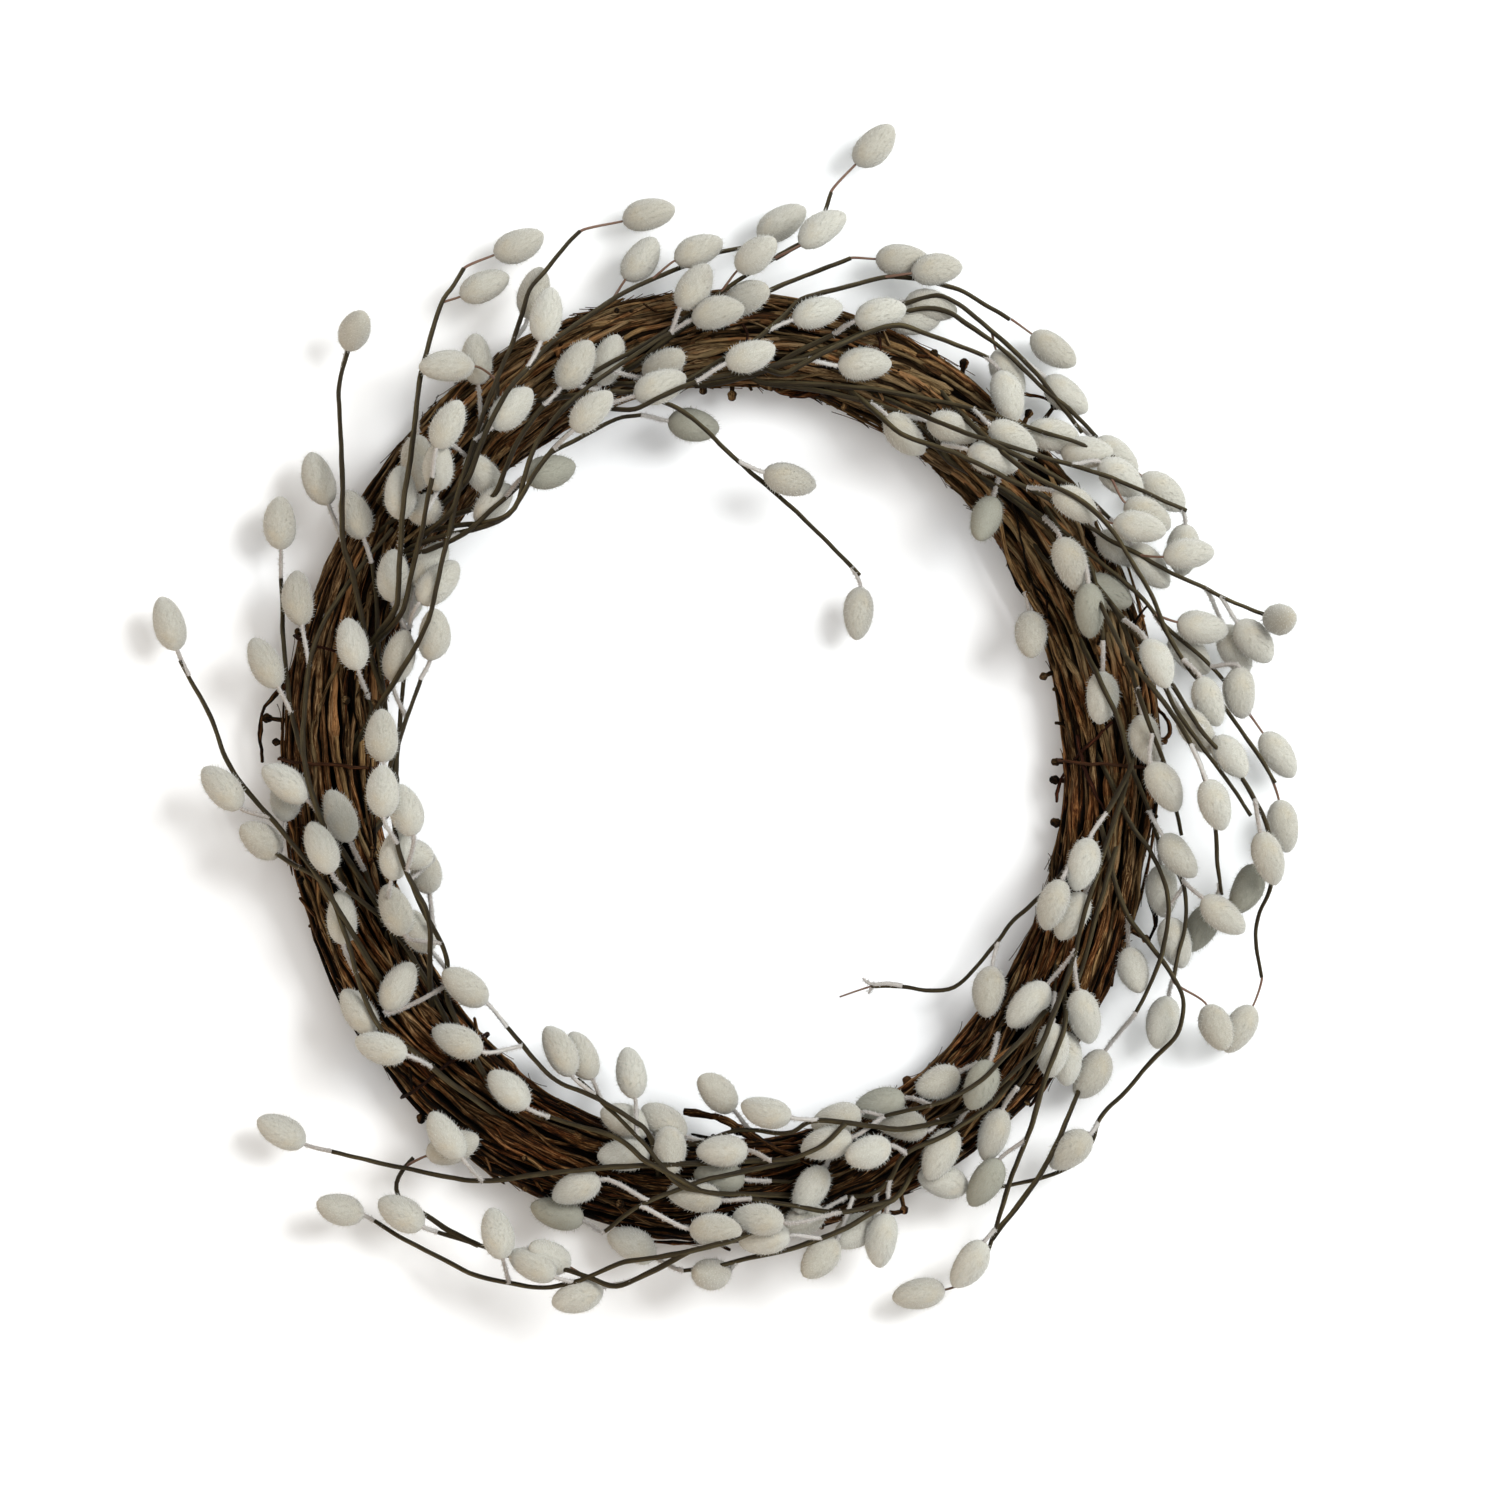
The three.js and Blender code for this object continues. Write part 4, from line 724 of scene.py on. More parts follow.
class Pile:
    """Closed surfaces that go into one mesh, with a finish for each, and a tone and an unwound place."""

    def __init__(self):
        self.points, self.unwound, self.tones = [], [], []
        self.faces = {3: [], 4: []}
        self.finishes = {3: [], 4: []}
        self.count = 0

    def add(self, points, unwound, tones, faces, finish):
        """Points (n, 3) and faces as a list of index arrays, each of triangles or of quads."""
        self.points.append(points)
        self.unwound.append(unwound)
        self.tones.append(np.broadcast_to(tones, len(points)))
        for corners in faces:
            size = corners.shape[-1]
            self.faces[size].append(corners.reshape(-1, size) + self.count)
            self.finishes[size].append(np.full(corners.size // size, finish))
        self.count += len(points)

    def add_tubes(self, rings, unwound, tone, finish=0, bulge=0.0, start=None, end=None):
        """Tubes (tubes, rings, sides, 3) closed by a pole at each end.

        A pole is the middle of its end ring, moved on by bulge times the step from the next ring.
        """
        if rings.ndim == 3:
            rings, unwound = rings[None], unwound[None]
        tubes, rounds, sides = rings.shape[:3]
        middles = rings.mean(axis=2)
        if start is None:
            start = middles[:, 0] + bulge * (middles[:, 0] - middles[:, 1])
        if end is None:
            end = middles[:, -1] + bulge * (middles[:, -1] - middles[:, -2])
        points = np.concatenate([rings.reshape(tubes, -1, 3), start[:, None], end[:, None]], axis=1)
        places = np.concatenate([unwound.reshape(tubes, -1, 3), unwound[:, (0, -1)].mean(axis=2)], axis=1)
        i, j = np.meshgrid(np.arange(rounds - 1), np.arange(sides), indexing="ij")
        on = (j + 1) % sides
        quads = np.stack([i * sides + j, i * sides + on, (i + 1) * sides + on, (i + 1) * sides + j], axis=-1)
        j, on = j[0], on[0]
        last, first_pole = (rounds - 1) * sides, rounds * sides
        starts = np.stack([np.full(sides, first_pole), on, j], axis=-1)
        ends = np.stack([np.full(sides, first_pole + 1), last + j, last + on], axis=-1)
        size = rounds * sides + 2
        shift = (np.arange(tubes) * size)[:, None, None]
        faces = [quads.reshape(-1, 4) + shift, np.concatenate([starts, ends]) + shift]
        if np.ndim(tone) < 3:
            tone = np.broadcast_to(tone, tubes)[:, None, None] * np.ones((rounds, sides))
        tones = np.concatenate([tone.reshape(tubes, -1), tone[:, (0, -1)].mean(axis=2)], axis=1).ravel()
        self.add(points.reshape(-1, 3), places.reshape(-1, 3), tones, faces, finish)

    def add_hairs(self, roots, ways, lengths, widths, tones, finish=0):
        """Hairs as slim spikes: a triangle round each root, and a tip at root + length * way."""
        side = unit(np.cross(ways, (0.31, 0.17, 0.93)))
        top = np.cross(ways, side)
        f = 2 * np.pi * np.arange(3) / 3
        widths = widths[:, None, None]
        corners = np.cos(f)[:, None] * side[:, None, :] + np.sin(f)[:, None] * top[:, None, :]
        corners = roots[:, None, :] + widths / 2 * corners
        tips = roots + lengths[:, None] * ways
        points = np.concatenate([corners, tips[:, None]], axis=1).reshape(-1, 3)
        spike = np.array([[0, 2, 1], [0, 1, 3], [1, 2, 3], [2, 0, 3]])
        faces = spike[None] + (np.arange(len(roots)) * 4)[:, None, None]
        self.add(points, points - CENTRE / MM, np.repeat(tones, 4), [faces], finish)

    def piece(self, name, slot, finishes, nodes=()):
        """One object of all the surfaces, at the origin, that stands for the nodes.

        What would reach through the floor is pressed flat on it.
        """
        mesh = bpy.data.meshes.new(name)
        points = np.concatenate(self.points)
        points[:, 2] = np.maximum(points[:, 2], FLOOR)
        faces = {size: np.concatenate(f) for size, f in self.faces.items() if f}
        corners = np.concatenate([f.ravel() for f in faces.values()])
        sizes = np.concatenate([np.full(len(f), size) for size, f in faces.items()])
        finish = np.concatenate([np.concatenate(self.finishes[size]) for size in faces])
        mesh.vertices.add(self.count)
        mesh.vertices.foreach_set("co", (points * MM + CENTRE).ravel())
        mesh.loops.add(len(corners))
        mesh.loops.foreach_set("vertex_index", corners.astype(np.int32))
        mesh.polygons.add(len(sizes))
        mesh.polygons.foreach_set("loop_start", (np.cumsum(sizes) - sizes).astype(np.int32))
        mesh.polygons.foreach_set("material_index", finish.astype(np.int32))
        mesh.update(calc_edges=True)
        tones = mesh.attributes.new("tone", "FLOAT", "POINT")
        tones.data.foreach_set("value", np.concatenate(self.tones).astype(np.float32))
        unwound = mesh.attributes.new("unwound", "FLOAT_VECTOR", "POINT")
        unwound.data.foreach_set("vector", np.concatenate(self.unwound).astype(np.float32).ravel())
        mesh.shade_smooth()
        if mesh.validate():
            raise RuntimeError(name + " has faces that make no surface")
        for made in finishes:
            mesh.materials.append(made)
        piece = bpy.data.objects.new(name, mesh)
        bpy.context.scene.collection.objects.link(piece)
        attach(piece, "root")
        if nodes:
            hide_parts(*nodes)
        return piece


# The ring


def angle_round(places):
    """Angle round the ring of places, as in its middle line's formula."""
    return np.arctan2(places[..., 1] / RING_HALF_HEIGHT, places[..., 0] / RING_HALF_WIDTH)


def ring_place(angle):
    """Middle line of the ring, (half width * cos a, half height * sin a), and the way out of it in plan."""
    flat = np.zeros_like(angle)
    centre = np.stack([RING_HALF_WIDTH * np.cos(angle), RING_HALF_HEIGHT * np.sin(angle), flat], axis=-1)
    out = unit(np.stack([np.cos(angle) / RING_HALF_WIDTH, np.sin(angle) / RING_HALF_HEIGHT, flat], axis=-1))
    return centre, out


def wound(angle, roll, out, up):
    """Line wound about the ring's middle line: out * swell * cos(roll) outwards, up * sin(roll) upwards.

    Also gives the way straight out of the bundle at each point.
    """
    swell = 1 + RING_WAVE * (0.5 + 0.3 * np.sin(3 * angle + 1) + 0.2 * np.sin(7 * angle))
    centre, outwards = ring_place(angle)
    cos, sin = np.cos(roll)[..., None], np.sin(roll)[..., None]
    path = centre + outwards * cos * (out * swell)[..., None] + UP * sin * np.asarray(up)[..., None]
    return path, outwards * cos + UP * sin


def above_floor(path, radius):
    """The path, lifted where a vine of that radius would reach through the floor."""
    height = np.maximum(path[..., 2], FLOOR + radius)
    return np.concatenate([path[..., :2], height[..., None]], axis=-1)


def rough(along, radius, sides, rng, knots):
    """Radius of a vine round each ring: it swells slowly, has ridges along it, and knots here and there.

    The ridges are one factor a side that drifts along the vine, and a knot is a short rounded swelling.
    """
    swelling = 1 + 0.16 * drift(along, rng, 60)
    for place in rng.uniform(along[0], along[-1], knots):
        swelling += rng.uniform(0.1, 0.5) * np.exp(-(((along - place) / 4) ** 2))
    ridges = [0.13 * drift(along, rng, 38, 3) + rng.uniform(-0.13, 0.13) for _ in range(sides)]
    return radius * swelling[:, None] * (1 + np.stack(ridges, axis=-1))


def ends_worn(along, reach=5.0, left=0.45):
    """Share of the full radius along a vine: near both ends it goes down to what is left over that reach."""
    near = np.minimum(along - along[0], along[-1] - along)
    return left + (1 - left) * np.clip(near / reach, 0, 1) ** 0.6


def vine_strands(first, last, sizes, rng):
    """Thin vines wound round the line of a strand of the solid, as (path, radius, away) of each.

    The strand goes round the ring by an angle of 2 pi to each full turn of stations, and is wound by
    that angle times the roll per turn. Each thin vine is off it by a spread, at an angle that turns
    slowly along it.
    """
    thickness, spread = sizes
    step = np.linspace(first, last, (last - first) * STATION_POINTS + 1)
    angle = 2 * np.pi * step / STATIONS
    roll = angle * ROLL_PER_TURN
    from_end = np.minimum(step - first, last - step)
    lift = END_LIFT * np.maximum(0, 1 - from_end / END_STATIONS) ** 2
    middle, away = wound(angle, roll, STRANDS_OUT + lift, STRANDS_UP + lift)
    along = lengths_along(middle)
    aside = np.cross(unit(np.gradient(middle, axis=0)), away)
    strands = []
    for i, share in enumerate(STRAND_SHARES):
        radius = share * rng.uniform(0.9, 1.1) * thickness / 2
        turn = 2 * np.pi * i / len(STRAND_SHARES) + rng.choice([-1, 1]) * 2 * np.pi * along / TWIST_LENGTH
        turn = turn + 0.9 * drift(along, rng, 240)
        off = (spread + thickness / 2 - radius) * (1 + 0.35 * drift(along, rng, 130))
        out = off * np.cos(turn) + 0.6 * drift(along, rng, 90)
        over = off * np.sin(turn) * 1.6 + 1.6 * drift(along, rng, 170)
        out = out - rng.uniform(0.2, 1.4) * lift + 0.3 * drift(along, rng, 34, 2)
        over = over + 0.45 * drift(along, rng, 42, 3)
        path = middle + out[:, None] * away + over[:, None] * aside
        kept = slice(rng.integers(0, STATION_POINTS), len(path) - rng.integers(0, STATION_POINTS))
        strands.append((above_floor(path, radius)[kept], radius, away[kept]))
    return strands


def tone_round(path):
    """How much lighter vines are by the place on the ring: most at the top right, and less at the bottom."""
    angle = angle_round(path)
    lighter = np.maximum(0, np.cos(angle - np.radians(62))) ** 2
    darker = np.maximum(0, np.cos(angle + np.radians(100))) ** 2
    return 0.6 * lighter - 0.5 * darker


def add_vine(pile, path, radius, away, rng, sides, tone=None):
    """One vine along a path, its ends worn thin, with a tone of its own that changes round the ring."""
    along = lengths_along(path)
    knots = 2 + int(along[-1] / KNOT_SPACING)
    sizes = ends_worn(along)[:, None] * rough(along, radius, sides, rng, knots)
    rings, unwound = tube(path, sizes, sides, away)
    own_grain(unwound, rng)
    own_tone = rng.random() if tone is None else tone
    tones = (own_tone + tone_round(path))[None, :, None] * np.ones((1, 1, sides))
    pile.add_tubes(rings, unwound, tones, bulge=0.2)


def inner_turns(count, rng):
    """Vines packed inside the strands, their bark painted near black as shade: each goes once round at a
    depth and a roll of its own.
    """
    turns = []
    for i in range(count):
        angle = rng.uniform(0, 2 * np.pi) + np.linspace(0, 2.04 * np.pi, 230)
        along = angle * RING_HALF_WIDTH
        depth = rng.uniform(0.35, 0.84) + 0.07 * drift(along, rng, 300)
        roll = 2 * np.pi * i / count + rng.choice([-0.6, 0.4, 1.1]) * angle
        roll = roll + 0.35 * drift(along, rng, 260)
        path, away = wound(angle, roll, STRANDS_OUT * depth, STRANDS_UP * depth)
        turns.append((path, rng.uniform(*INNER_RADII), away))
    return turns


def crossing_vines(count, rng):
    """Thin vines that cross over the strands along a part of the ring, their ends lifted off it."""
    vines = []
    for _ in range(count):
        arc = rng.uniform(*CROSSING_ARCS)
        angle = rng.uniform(0, 2 * np.pi) + np.linspace(0, arc, int(arc * 62))
        along = angle * RING_HALF_WIDTH
        share = (angle - angle[0]) / arc
        lift = CROSSING_LIFT + rng.uniform(1.5, 5) * np.abs(2 * share - 1) ** 6
        roll = rng.uniform(-0.4, 3.5) + rng.uniform(-1.5, 2.3) * (angle - angle[0])
        roll = roll + 0.15 * drift(along, rng, 120)
        path, away = wound(angle, roll, STRANDS_OUT + lift, STRANDS_UP + lift)
        radius = rng.uniform(*CROSSING_RADII)
        vines.append((above_floor(path, radius), radius, away))
    return vines


def add_stubs(pile, count, rng):
    """Short broken twigs that stand out of the ring: tubes from its surface, leaning along it."""
    angle = rng.uniform(0, 2 * np.pi, count)
    roll = rng.uniform(0.1, 3.0, count)
    out, up = np.full(count, STRANDS_OUT + STUB_LIFT), np.full(count, STRANDS_UP + STUB_LIFT)
    root, away = wound(angle, roll, out, up)
    ahead = np.cross(UP, ring_place(angle)[1]) * rng.choice([-1, 1], count)[:, None]
    ahead = unit(ahead + 0.15 * rng.normal(0, 1, (count, 3)))
    lean = np.radians(rng.uniform(*STUB_LEANS, count))[:, None]
    way = np.cos(lean) * ahead + np.sin(lean) * away
    s = np.linspace(0, 1, 6)[None, :, None]
    length = rng.uniform(*STUB_LENGTHS, count)[:, None, None]
    path = root[:, None] + s * length * way[:, None] + 1.2 * s**2 * rng.normal(0, 1, (count, 1, 3))
    radius = rng.uniform(*STUB_RADII, (count, 1)) * np.linspace(1.1, 0.8, 6)
    rings, unwound = tube(path, radius, 6, away[:, None])
    own_grain(unwound, rng, (count, 1, 1))
    pile.add_tubes(rings, unwound, rng.random(count), bulge=0.3)


def ring_surface(places):
    """Points on the top of the ring over places in plan, and the way out of it there.

    The ring's section is an ellipse, so a place that lies s to the side of the middle line is at a
    height of up * sqrt(1 - (s / out)^2). A place beyond the edge gives the edge.
    """
    angle = angle_round(places)
    centre, outwards = ring_place(angle)
    aside = np.sum((places - centre[:, :2]) * outwards[:, :2], axis=1)
    out, up = STRANDS_OUT + SKIN_LIFT, STRANDS_UP + SKIN_LIFT
    return wound(angle, np.arccos(np.clip(aside / out, -1, 1)), out, up)


def add_slivers(pile, vines, kind, rng):
    """Slivers of bark that lie along the vines and peel off at one end, as closed flat tubes.

    A sliver follows its vine at its surface, lifts off with the cube of its length, and narrows to
    its tip.
    """
    each, longest, widest, flaky = kind
    share = np.linspace(0, 1, 8)
    paths, aways = [], []
    for path, radius, away in vines:
        length = rng.uniform(0.25, 1, each) * longest
        step = np.linalg.norm(path[1] - path[0])
        starts = np.arange(2, len(path) - int(longest / step) - 3)
        if flaky:
            starts = starts[np.all(path[starts] > FLAKY_BEYOND, axis=1)]
        if not len(starts):
            continue
        start = rng.choice(starts, each)
        at = start[:, None] + share * (length / step)[:, None]
        flip = rng.random(each) < 0.5
        at[flip] = at[flip, ::-1]
        i = at.astype(int)
        part = (at - i)[..., None]
        middle = path[i] * (1 - part) + path[i + 1] * part
        aside = np.cross(unit(path[i + 1] - path[i]), away[i])
        out = unit(away[i] + rng.uniform(-1.1, 1.1, each)[:, None, None] * aside)
        lift = rng.uniform(0.2, 1, each)[:, None, None] * SLIVER_LIFT * share[:, None] ** 3
        sweep = rng.normal(0, 1.3, each)[:, None, None] * share[:, None] ** 2
        paths.append(middle + (radius + 0.1 + lift) * out + sweep * aside)
        aways.append(out)
    paths, aways = np.concatenate(paths), np.concatenate(aways)
    wide = rng.uniform(0.25, 1, (len(paths), 1)) * widest / 2 * (1 - 0.75 * share**2)
    thick = np.full_like(wide, SLIVER_THICKNESS / 2)
    rings, unwound = tube(paths, np.stack([wide, thick, wide, thick], axis=-1), 4, aways)
    pile.add_tubes(rings, unwound, rng.uniform(*SLIVER_TONES, len(rings)))


# The sprays


def through(points, at):
    """Smooth curve through points, at 0 for the first and 1 more for each next.

    Between two points it is the cubic whose slopes come from both neighbours, each weighted by the
    square root of its distance.
    """
    p = np.vstack([2 * points[:1] - points[1:2], points, 2 * points[-1:] - points[-2:-1]])
    gap = np.sqrt(np.linalg.norm(np.diff(p, axis=0), axis=1))[:, None]
    i = np.minimum(at.astype(int), len(points) - 2)
    w = (at - i)[:, None]
    p0, p1, p2, p3 = p[i], p[i + 1], p[i + 2], p[i + 3]
    g0, g1, g2 = gap[i], gap[i + 1], gap[i + 2]
    slope = ((p1 - p0) / g0 - (p2 - p0) / (g0 + g1) + (p2 - p1) / g1) * g1
    next_slope = ((p2 - p1) / g1 - (p3 - p1) / (g1 + g2) + (p3 - p2) / g2) * g1
    square = -3 * p1 + 3 * p2 - 2 * slope - next_slope
    cube = 2 * p1 - 2 * p2 + slope + next_slope
    return p1 + slope * w + square * w**2 + cube * w**3


def spaced(points, step, least):
    """The smooth curve through points, as points about one step apart."""
    at = np.linspace(0, len(points) - 1, CURVE_POINTS)
    along = lengths_along(through(points, at))
    count = max(least, round(along[-1] / step))
    return through(points, np.interp(np.linspace(0, along[-1], count + 1), along, at))


def corners_of(node):
    """Places of the corners of a solid, each once."""
    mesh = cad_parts[node].data
    places = np.empty(len(mesh.vertices) * 3, np.float32)
    mesh.vertices.foreach_get("co", places)
    return np.unique(np.round((places.reshape(-1, 3) - CENTRE) / MM, 3), axis=0)


def agreed(heights):
    """The height that most of the heights agree on, and how many do."""
    if not len(heights):
        return 0.0, 0
    agree = np.abs(heights[:, None] - heights) < SAME
    best = agree.sum(1).argmax()
    return heights[agree[best]].mean(), agree[best].sum()


def joint_height(corners, place, radius):
    """Height of a joint of a tube from the solid's corners, which all lie one radius from it."""
    far = np.linalg.norm(corners[:, :2] - place, axis=1)
    near = corners[far <= radius + 1e-4]
    rise = np.sqrt(np.maximum(0, radius**2 - np.linalg.norm(near[:, :2] - place, axis=1) ** 2))
    return agreed(np.concatenate([near[:, 2] - rise, near[:, 2] + rise]))


def read_stems(rows, corners):
    """Joints and smooth lines of a spray's stems, with the heights that their solid has.

    A side stem starts at the nearest joint of the stems before it, and its line comes back to its
    own reading over one step.
    """
    stems = []
    for row in rows:
        joints = spaced(plan(row), STEM_STEP, 2)
        line = spaced(plan(row), 3, 6)
        along = lengths_along(line)
        found = [joint_height(corners, place, STEM_RADIUS) for place in joints]
        heights = np.array([height for height, _ in found])
        known = np.array([votes > 1 for _, votes in found])
        if stems:
            before = np.vstack([stem["joints"] for stem in stems])
            branch = before[np.linalg.norm(before[:, :2] - joints[0], axis=1).argmin()]
            joints[0], heights[0], known[0] = branch[:2], branch[2], True
            line = line + (branch[:2] - line[0]) * np.maximum(0, 1 - along / STEM_STEP)[:, None]
        at = np.linspace(0, along[-1], len(joints))
        heights = np.interp(at, at[known], heights[known])
        rise = smoothed(np.interp(along, at, heights), 2)
        stem = {"joints": np.column_stack([joints, heights]), "line": np.column_stack([line, rise])}
        stems.append(stem)
    return stems


def solid_offsets(way):
    """Corners of a catkin's solid from its base: its profile turned about its axis, with a pole at each end.

    The axis is turned from +Y to the catkin's way by the shortest turn.
    """
    length = np.linalg.norm(way)
    f = 2 * np.pi * np.arange(SOLID_SIDES) / SOLID_SIDES
    radius, share = np.array(SOLID_PROFILE).T
    up_to = np.outer(share, np.ones(SOLID_SIDES)) * length
    rings = np.stack([np.outer(radius, np.sin(f)), up_to, np.outer(radius, np.cos(f))], axis=-1)
    points = np.vstack([[(0, 0, 0), (0, length, 0)], rings.reshape(-1, 3)])
    axis = np.array([0, 1.0, 0])
    towards = way / length
    x, y, z = np.cross(axis, towards)
    turn = np.array([[0, -z, y], [z, 0, -x], [-y, x, 0]])
    cosine = axis @ towards
    if cosine < -1 + 1e-9:
        return points * (1, -1, -1)
    return points @ (np.eye(3) + turn + turn @ turn / (1 + cosine)).T


def height_and_way(base, tip, corners):
    """Height of a catkin's base and the way to its tip, for the tilt that fits its solid's corners best."""
    across = tip - base
    seen = np.linalg.norm(across)
    tilts = [np.arccos(seen / CATKIN_LENGTH)] if seen < FULL_VIEW else TILTS
    most = 0
    for tilt in tilts:
        in_plan = min(seen, CATKIN_LONGEST * np.cos(tilt))
        length = max(CATKIN_LENGTH, in_plan / np.cos(tilt))
        tried = np.array([*(across / seen * length * np.cos(tilt)), length * np.sin(tilt)])
        offsets = solid_offsets(tried)
        apart = np.linalg.norm(corners[:, None, :2] - (base + offsets[None, :, :2]), axis=2)
        corner, offset = np.nonzero(apart < SAME)
        height, votes = agreed(corners[corner, 2] - offsets[offset, 2])
        if votes > most:
            most, way, base_height = votes, tried, height
    return base_height, way


def stalk_root(aim, base, stems):
    """Root of a catkin's stalk, its slope there, and whether it comes out of the ring on its own.

    The root is on the spray's own stems, at a tip or at their nearest point. Where no stem comes near
    the aim, it is on the ring, at the tip of a short stem of its own.
    """
    ends = [stem["line"][-1] for stem in stems]
    tip_far = [np.linalg.norm(end[:2] - aim) for end in ends]
    if min(tip_far) < TIP_REACH:
        i = int(np.argmin(tip_far))
        return ends[i], unit(ends[i] - stems[i]["line"][-3]), False
    lines = np.concatenate([stem["line"] for stem in stems])
    far = np.linalg.norm(lines[:, :2] - aim, axis=1)
    surface, away = ring_surface(aim[None])
    if far.min() > STALK_REACH and np.linalg.norm(surface[0, :2] - aim) < 1:
        root = surface[0] + 1.5 * away[0]
        return root, unit(unit(base - root) * (1, 1, 0.5)), True
    slopes = np.concatenate([unit(np.gradient(stem["line"], axis=0)) for stem in stems])
    root, slope = lines[far.argmin()], slopes[far.argmin()]
    return root, slope * (slope @ unit(base - root)), False


def read_catkin(row, corners, stems):
    """A catkin as its solid has it: base, way from base to tip, and its stalk's root and slope there."""
    base, tip, *start = plan(row)
    height, way = height_and_way(base, tip, corners)
    aim = start[0] if start else base - STALK_BACK * (tip - base)
    base = np.array([*base, height])
    root, slope, own = stalk_root(aim, base, stems)
    return {"base": base, "way": way, "from": root, "slope": slope, "own": own, "reading": row[:2]}


def read_sprays():
    """Every spray's stems and catkins."""
    sprays = {}
    for name, spray in SPRAYS.items():
        corners = corners_of(name)
        stems = read_stems(spray["stems"], corners)
        catkins = [read_catkin(row, corners, stems) for row in spray["catkins"]]
        if name in TIPS_UNDER:
            which, count, down = TIPS_UNDER[name]
            line = stems[which]["line"][:-2]
            line[-count:, 2] -= down * np.sin(np.linspace(0, np.pi / 2, count))
            stems[which]["line"] = line
        sprays[name] = {"stems": stems, "catkins": catkins}
    return sprays


READ = read_sprays()
SIDES = {side: [name for name in SPRAYS if name.startswith("spray_" + side)] for side in STEM_GIRTHS}
SIDES["right"].append("loose_vine")


def is_listed(catkin, places):
    """Whether a catkin's base is one of the places, within the slack of a reading."""
    return min(np.hypot(*(np.array(places) - catkin["reading"]).T)) < READING_SLACK


def catkin_profile(share, width):
    """Radius at a share of a catkin's length: an ellipse to each side of the place where it is widest.

    The tip's side is a little slimmer, by an exponent of 0.55 instead of the ellipse's 0.5.
    """
    short = share < CATKIN_WIDEST
    off = np.abs(share - CATKIN_WIDEST) / np.where(short, CATKIN_WIDEST, 1 - CATKIN_WIDEST)
    return width / 2 * (1 - off**2) ** np.where(short, 0.5, 0.55)


def catkin_axes(catkins):
    """Base, way, side and top of each catkin, as arrays."""
    base = np.array([each["base"] for each in catkins])
    way = np.array([each["way"] for each in catkins])
    side = unit(np.cross(UP, way))
    return base, way, side, unit(np.cross(way, side))


def add_catkins(pile, catkins, sizes, rng, finish):
    """Bodies of the catkins: rings of the profile along each way, a little bent and lumpy.

    Their fine hairs grow from the body, spread evenly by the golden angle, and lean to the tip. The
    tone goes up from the top of a catkin to its underside, as painted shade, and that of the hairs goes
    down, which paints a white sheen on them at the sides.
    """
    width, hair_length, hairs = sizes
    count = len(catkins)
    base, way, side, top = catkin_axes(catkins)
    own_tone = rng.uniform(*CATKIN_TONES, count)
    girth = rng.uniform(0.95, 1.04, count)
    bend = rng.normal(0, 0.5, (count, 1, 1)) * side[:, None]
    bend = bend + rng.normal(0, 0.3, (count, 1, 1)) * top[:, None]
    lumps = rng.uniform(0, 2 * np.pi, (count, 3, 1, 1))

    def surface(share, f):
        """Points and outward ways for shares and angles (catkins, ...) of the bodies."""
        swell = 1 + 0.025 * np.sin(2 * f + lumps[:, 0]) + 0.02 * np.sin(3 * f + 5 * share + lumps[:, 1])
        radius = catkin_profile(share, width) * girth[:, None, None] * swell
        out = np.cos(f)[..., None] * side[:, None, None] + np.sin(f)[..., None] * top[:, None, None]
        middle = base[:, None, None] + share[..., None] * way[:, None, None]
        middle = middle + np.sin(np.pi * share)[..., None] * bend[:, None]
        return middle + radius[..., None] * out, out, radius

    share = (1 - np.cos(np.pi * (np.arange(CATKIN_RINGS) + 0.6) / (CATKIN_RINGS + 0.2))) / 2
    share = share[:, None] * np.ones((count, 1, CATKIN_SIDES))
    f = 2 * np.pi * np.arange(CATKIN_SIDES) / CATKIN_SIDES * np.ones((count, CATKIN_RINGS, 1))
    rings, out, radius = surface(share, f)
    unwound = np.stack([radius * np.cos(f), radius * np.sin(f), share * CATKIN_LENGTH], axis=-1)
    # Painted shade: the body's tone rises, darker and warmer, from its top to its sides and underside
    tones = own_tone[:, None, None] + CATKIN_PAINTED_SHADE * (1 - out[..., 2])
    pile.add_tubes(rings, unwound, tones, finish, start=base, end=base + way)

    order = (np.arange(hairs) + 0.5) / hairs
    share = np.arccos(1 - 2 * order) / np.pi * 0.5 + order * 0.5
    share = np.clip(share + rng.normal(0, 0.008, (count, 1, hairs)), 0.01, 0.99)
    f = np.arange(hairs) * GOLDEN_ANGLE + rng.uniform(0, 6.3, (count, 1, 1))
    f = f + rng.normal(0, 0.1, (count, 1, hairs))
    roots, out, _ = surface(share, f)
    steep = np.cos(np.pi * (0.06 + 0.88 * share))[..., None]
    ahead = unit(way)[:, None, None]
    ways = unit(out - steep * ahead + 0.7 * ahead + rng.normal(0, 0.25, roots.shape))
    lengths = hair_length * rng.uniform(0.6, 1.35, roots.shape[:-1])
    roots = roots - 0.3 * ways
    # Painted sheen: the hairs' tone falls, whiter, from the top of the catkin to its sides and underside
    tones = np.repeat(own_tone, hairs) + HAIR_PAINTED_SHEEN * (1 - out[..., 2]).ravel()
    tones = tones + rng.uniform(*HAIR_TONES, lengths.size)
    widths = rng.uniform(*HAIR_WIDTHS, lengths.size)
    pile.add_hairs(roots.reshape(-1, 3), ways.reshape(-1, 3), lengths.ravel(), widths, tones, finish)


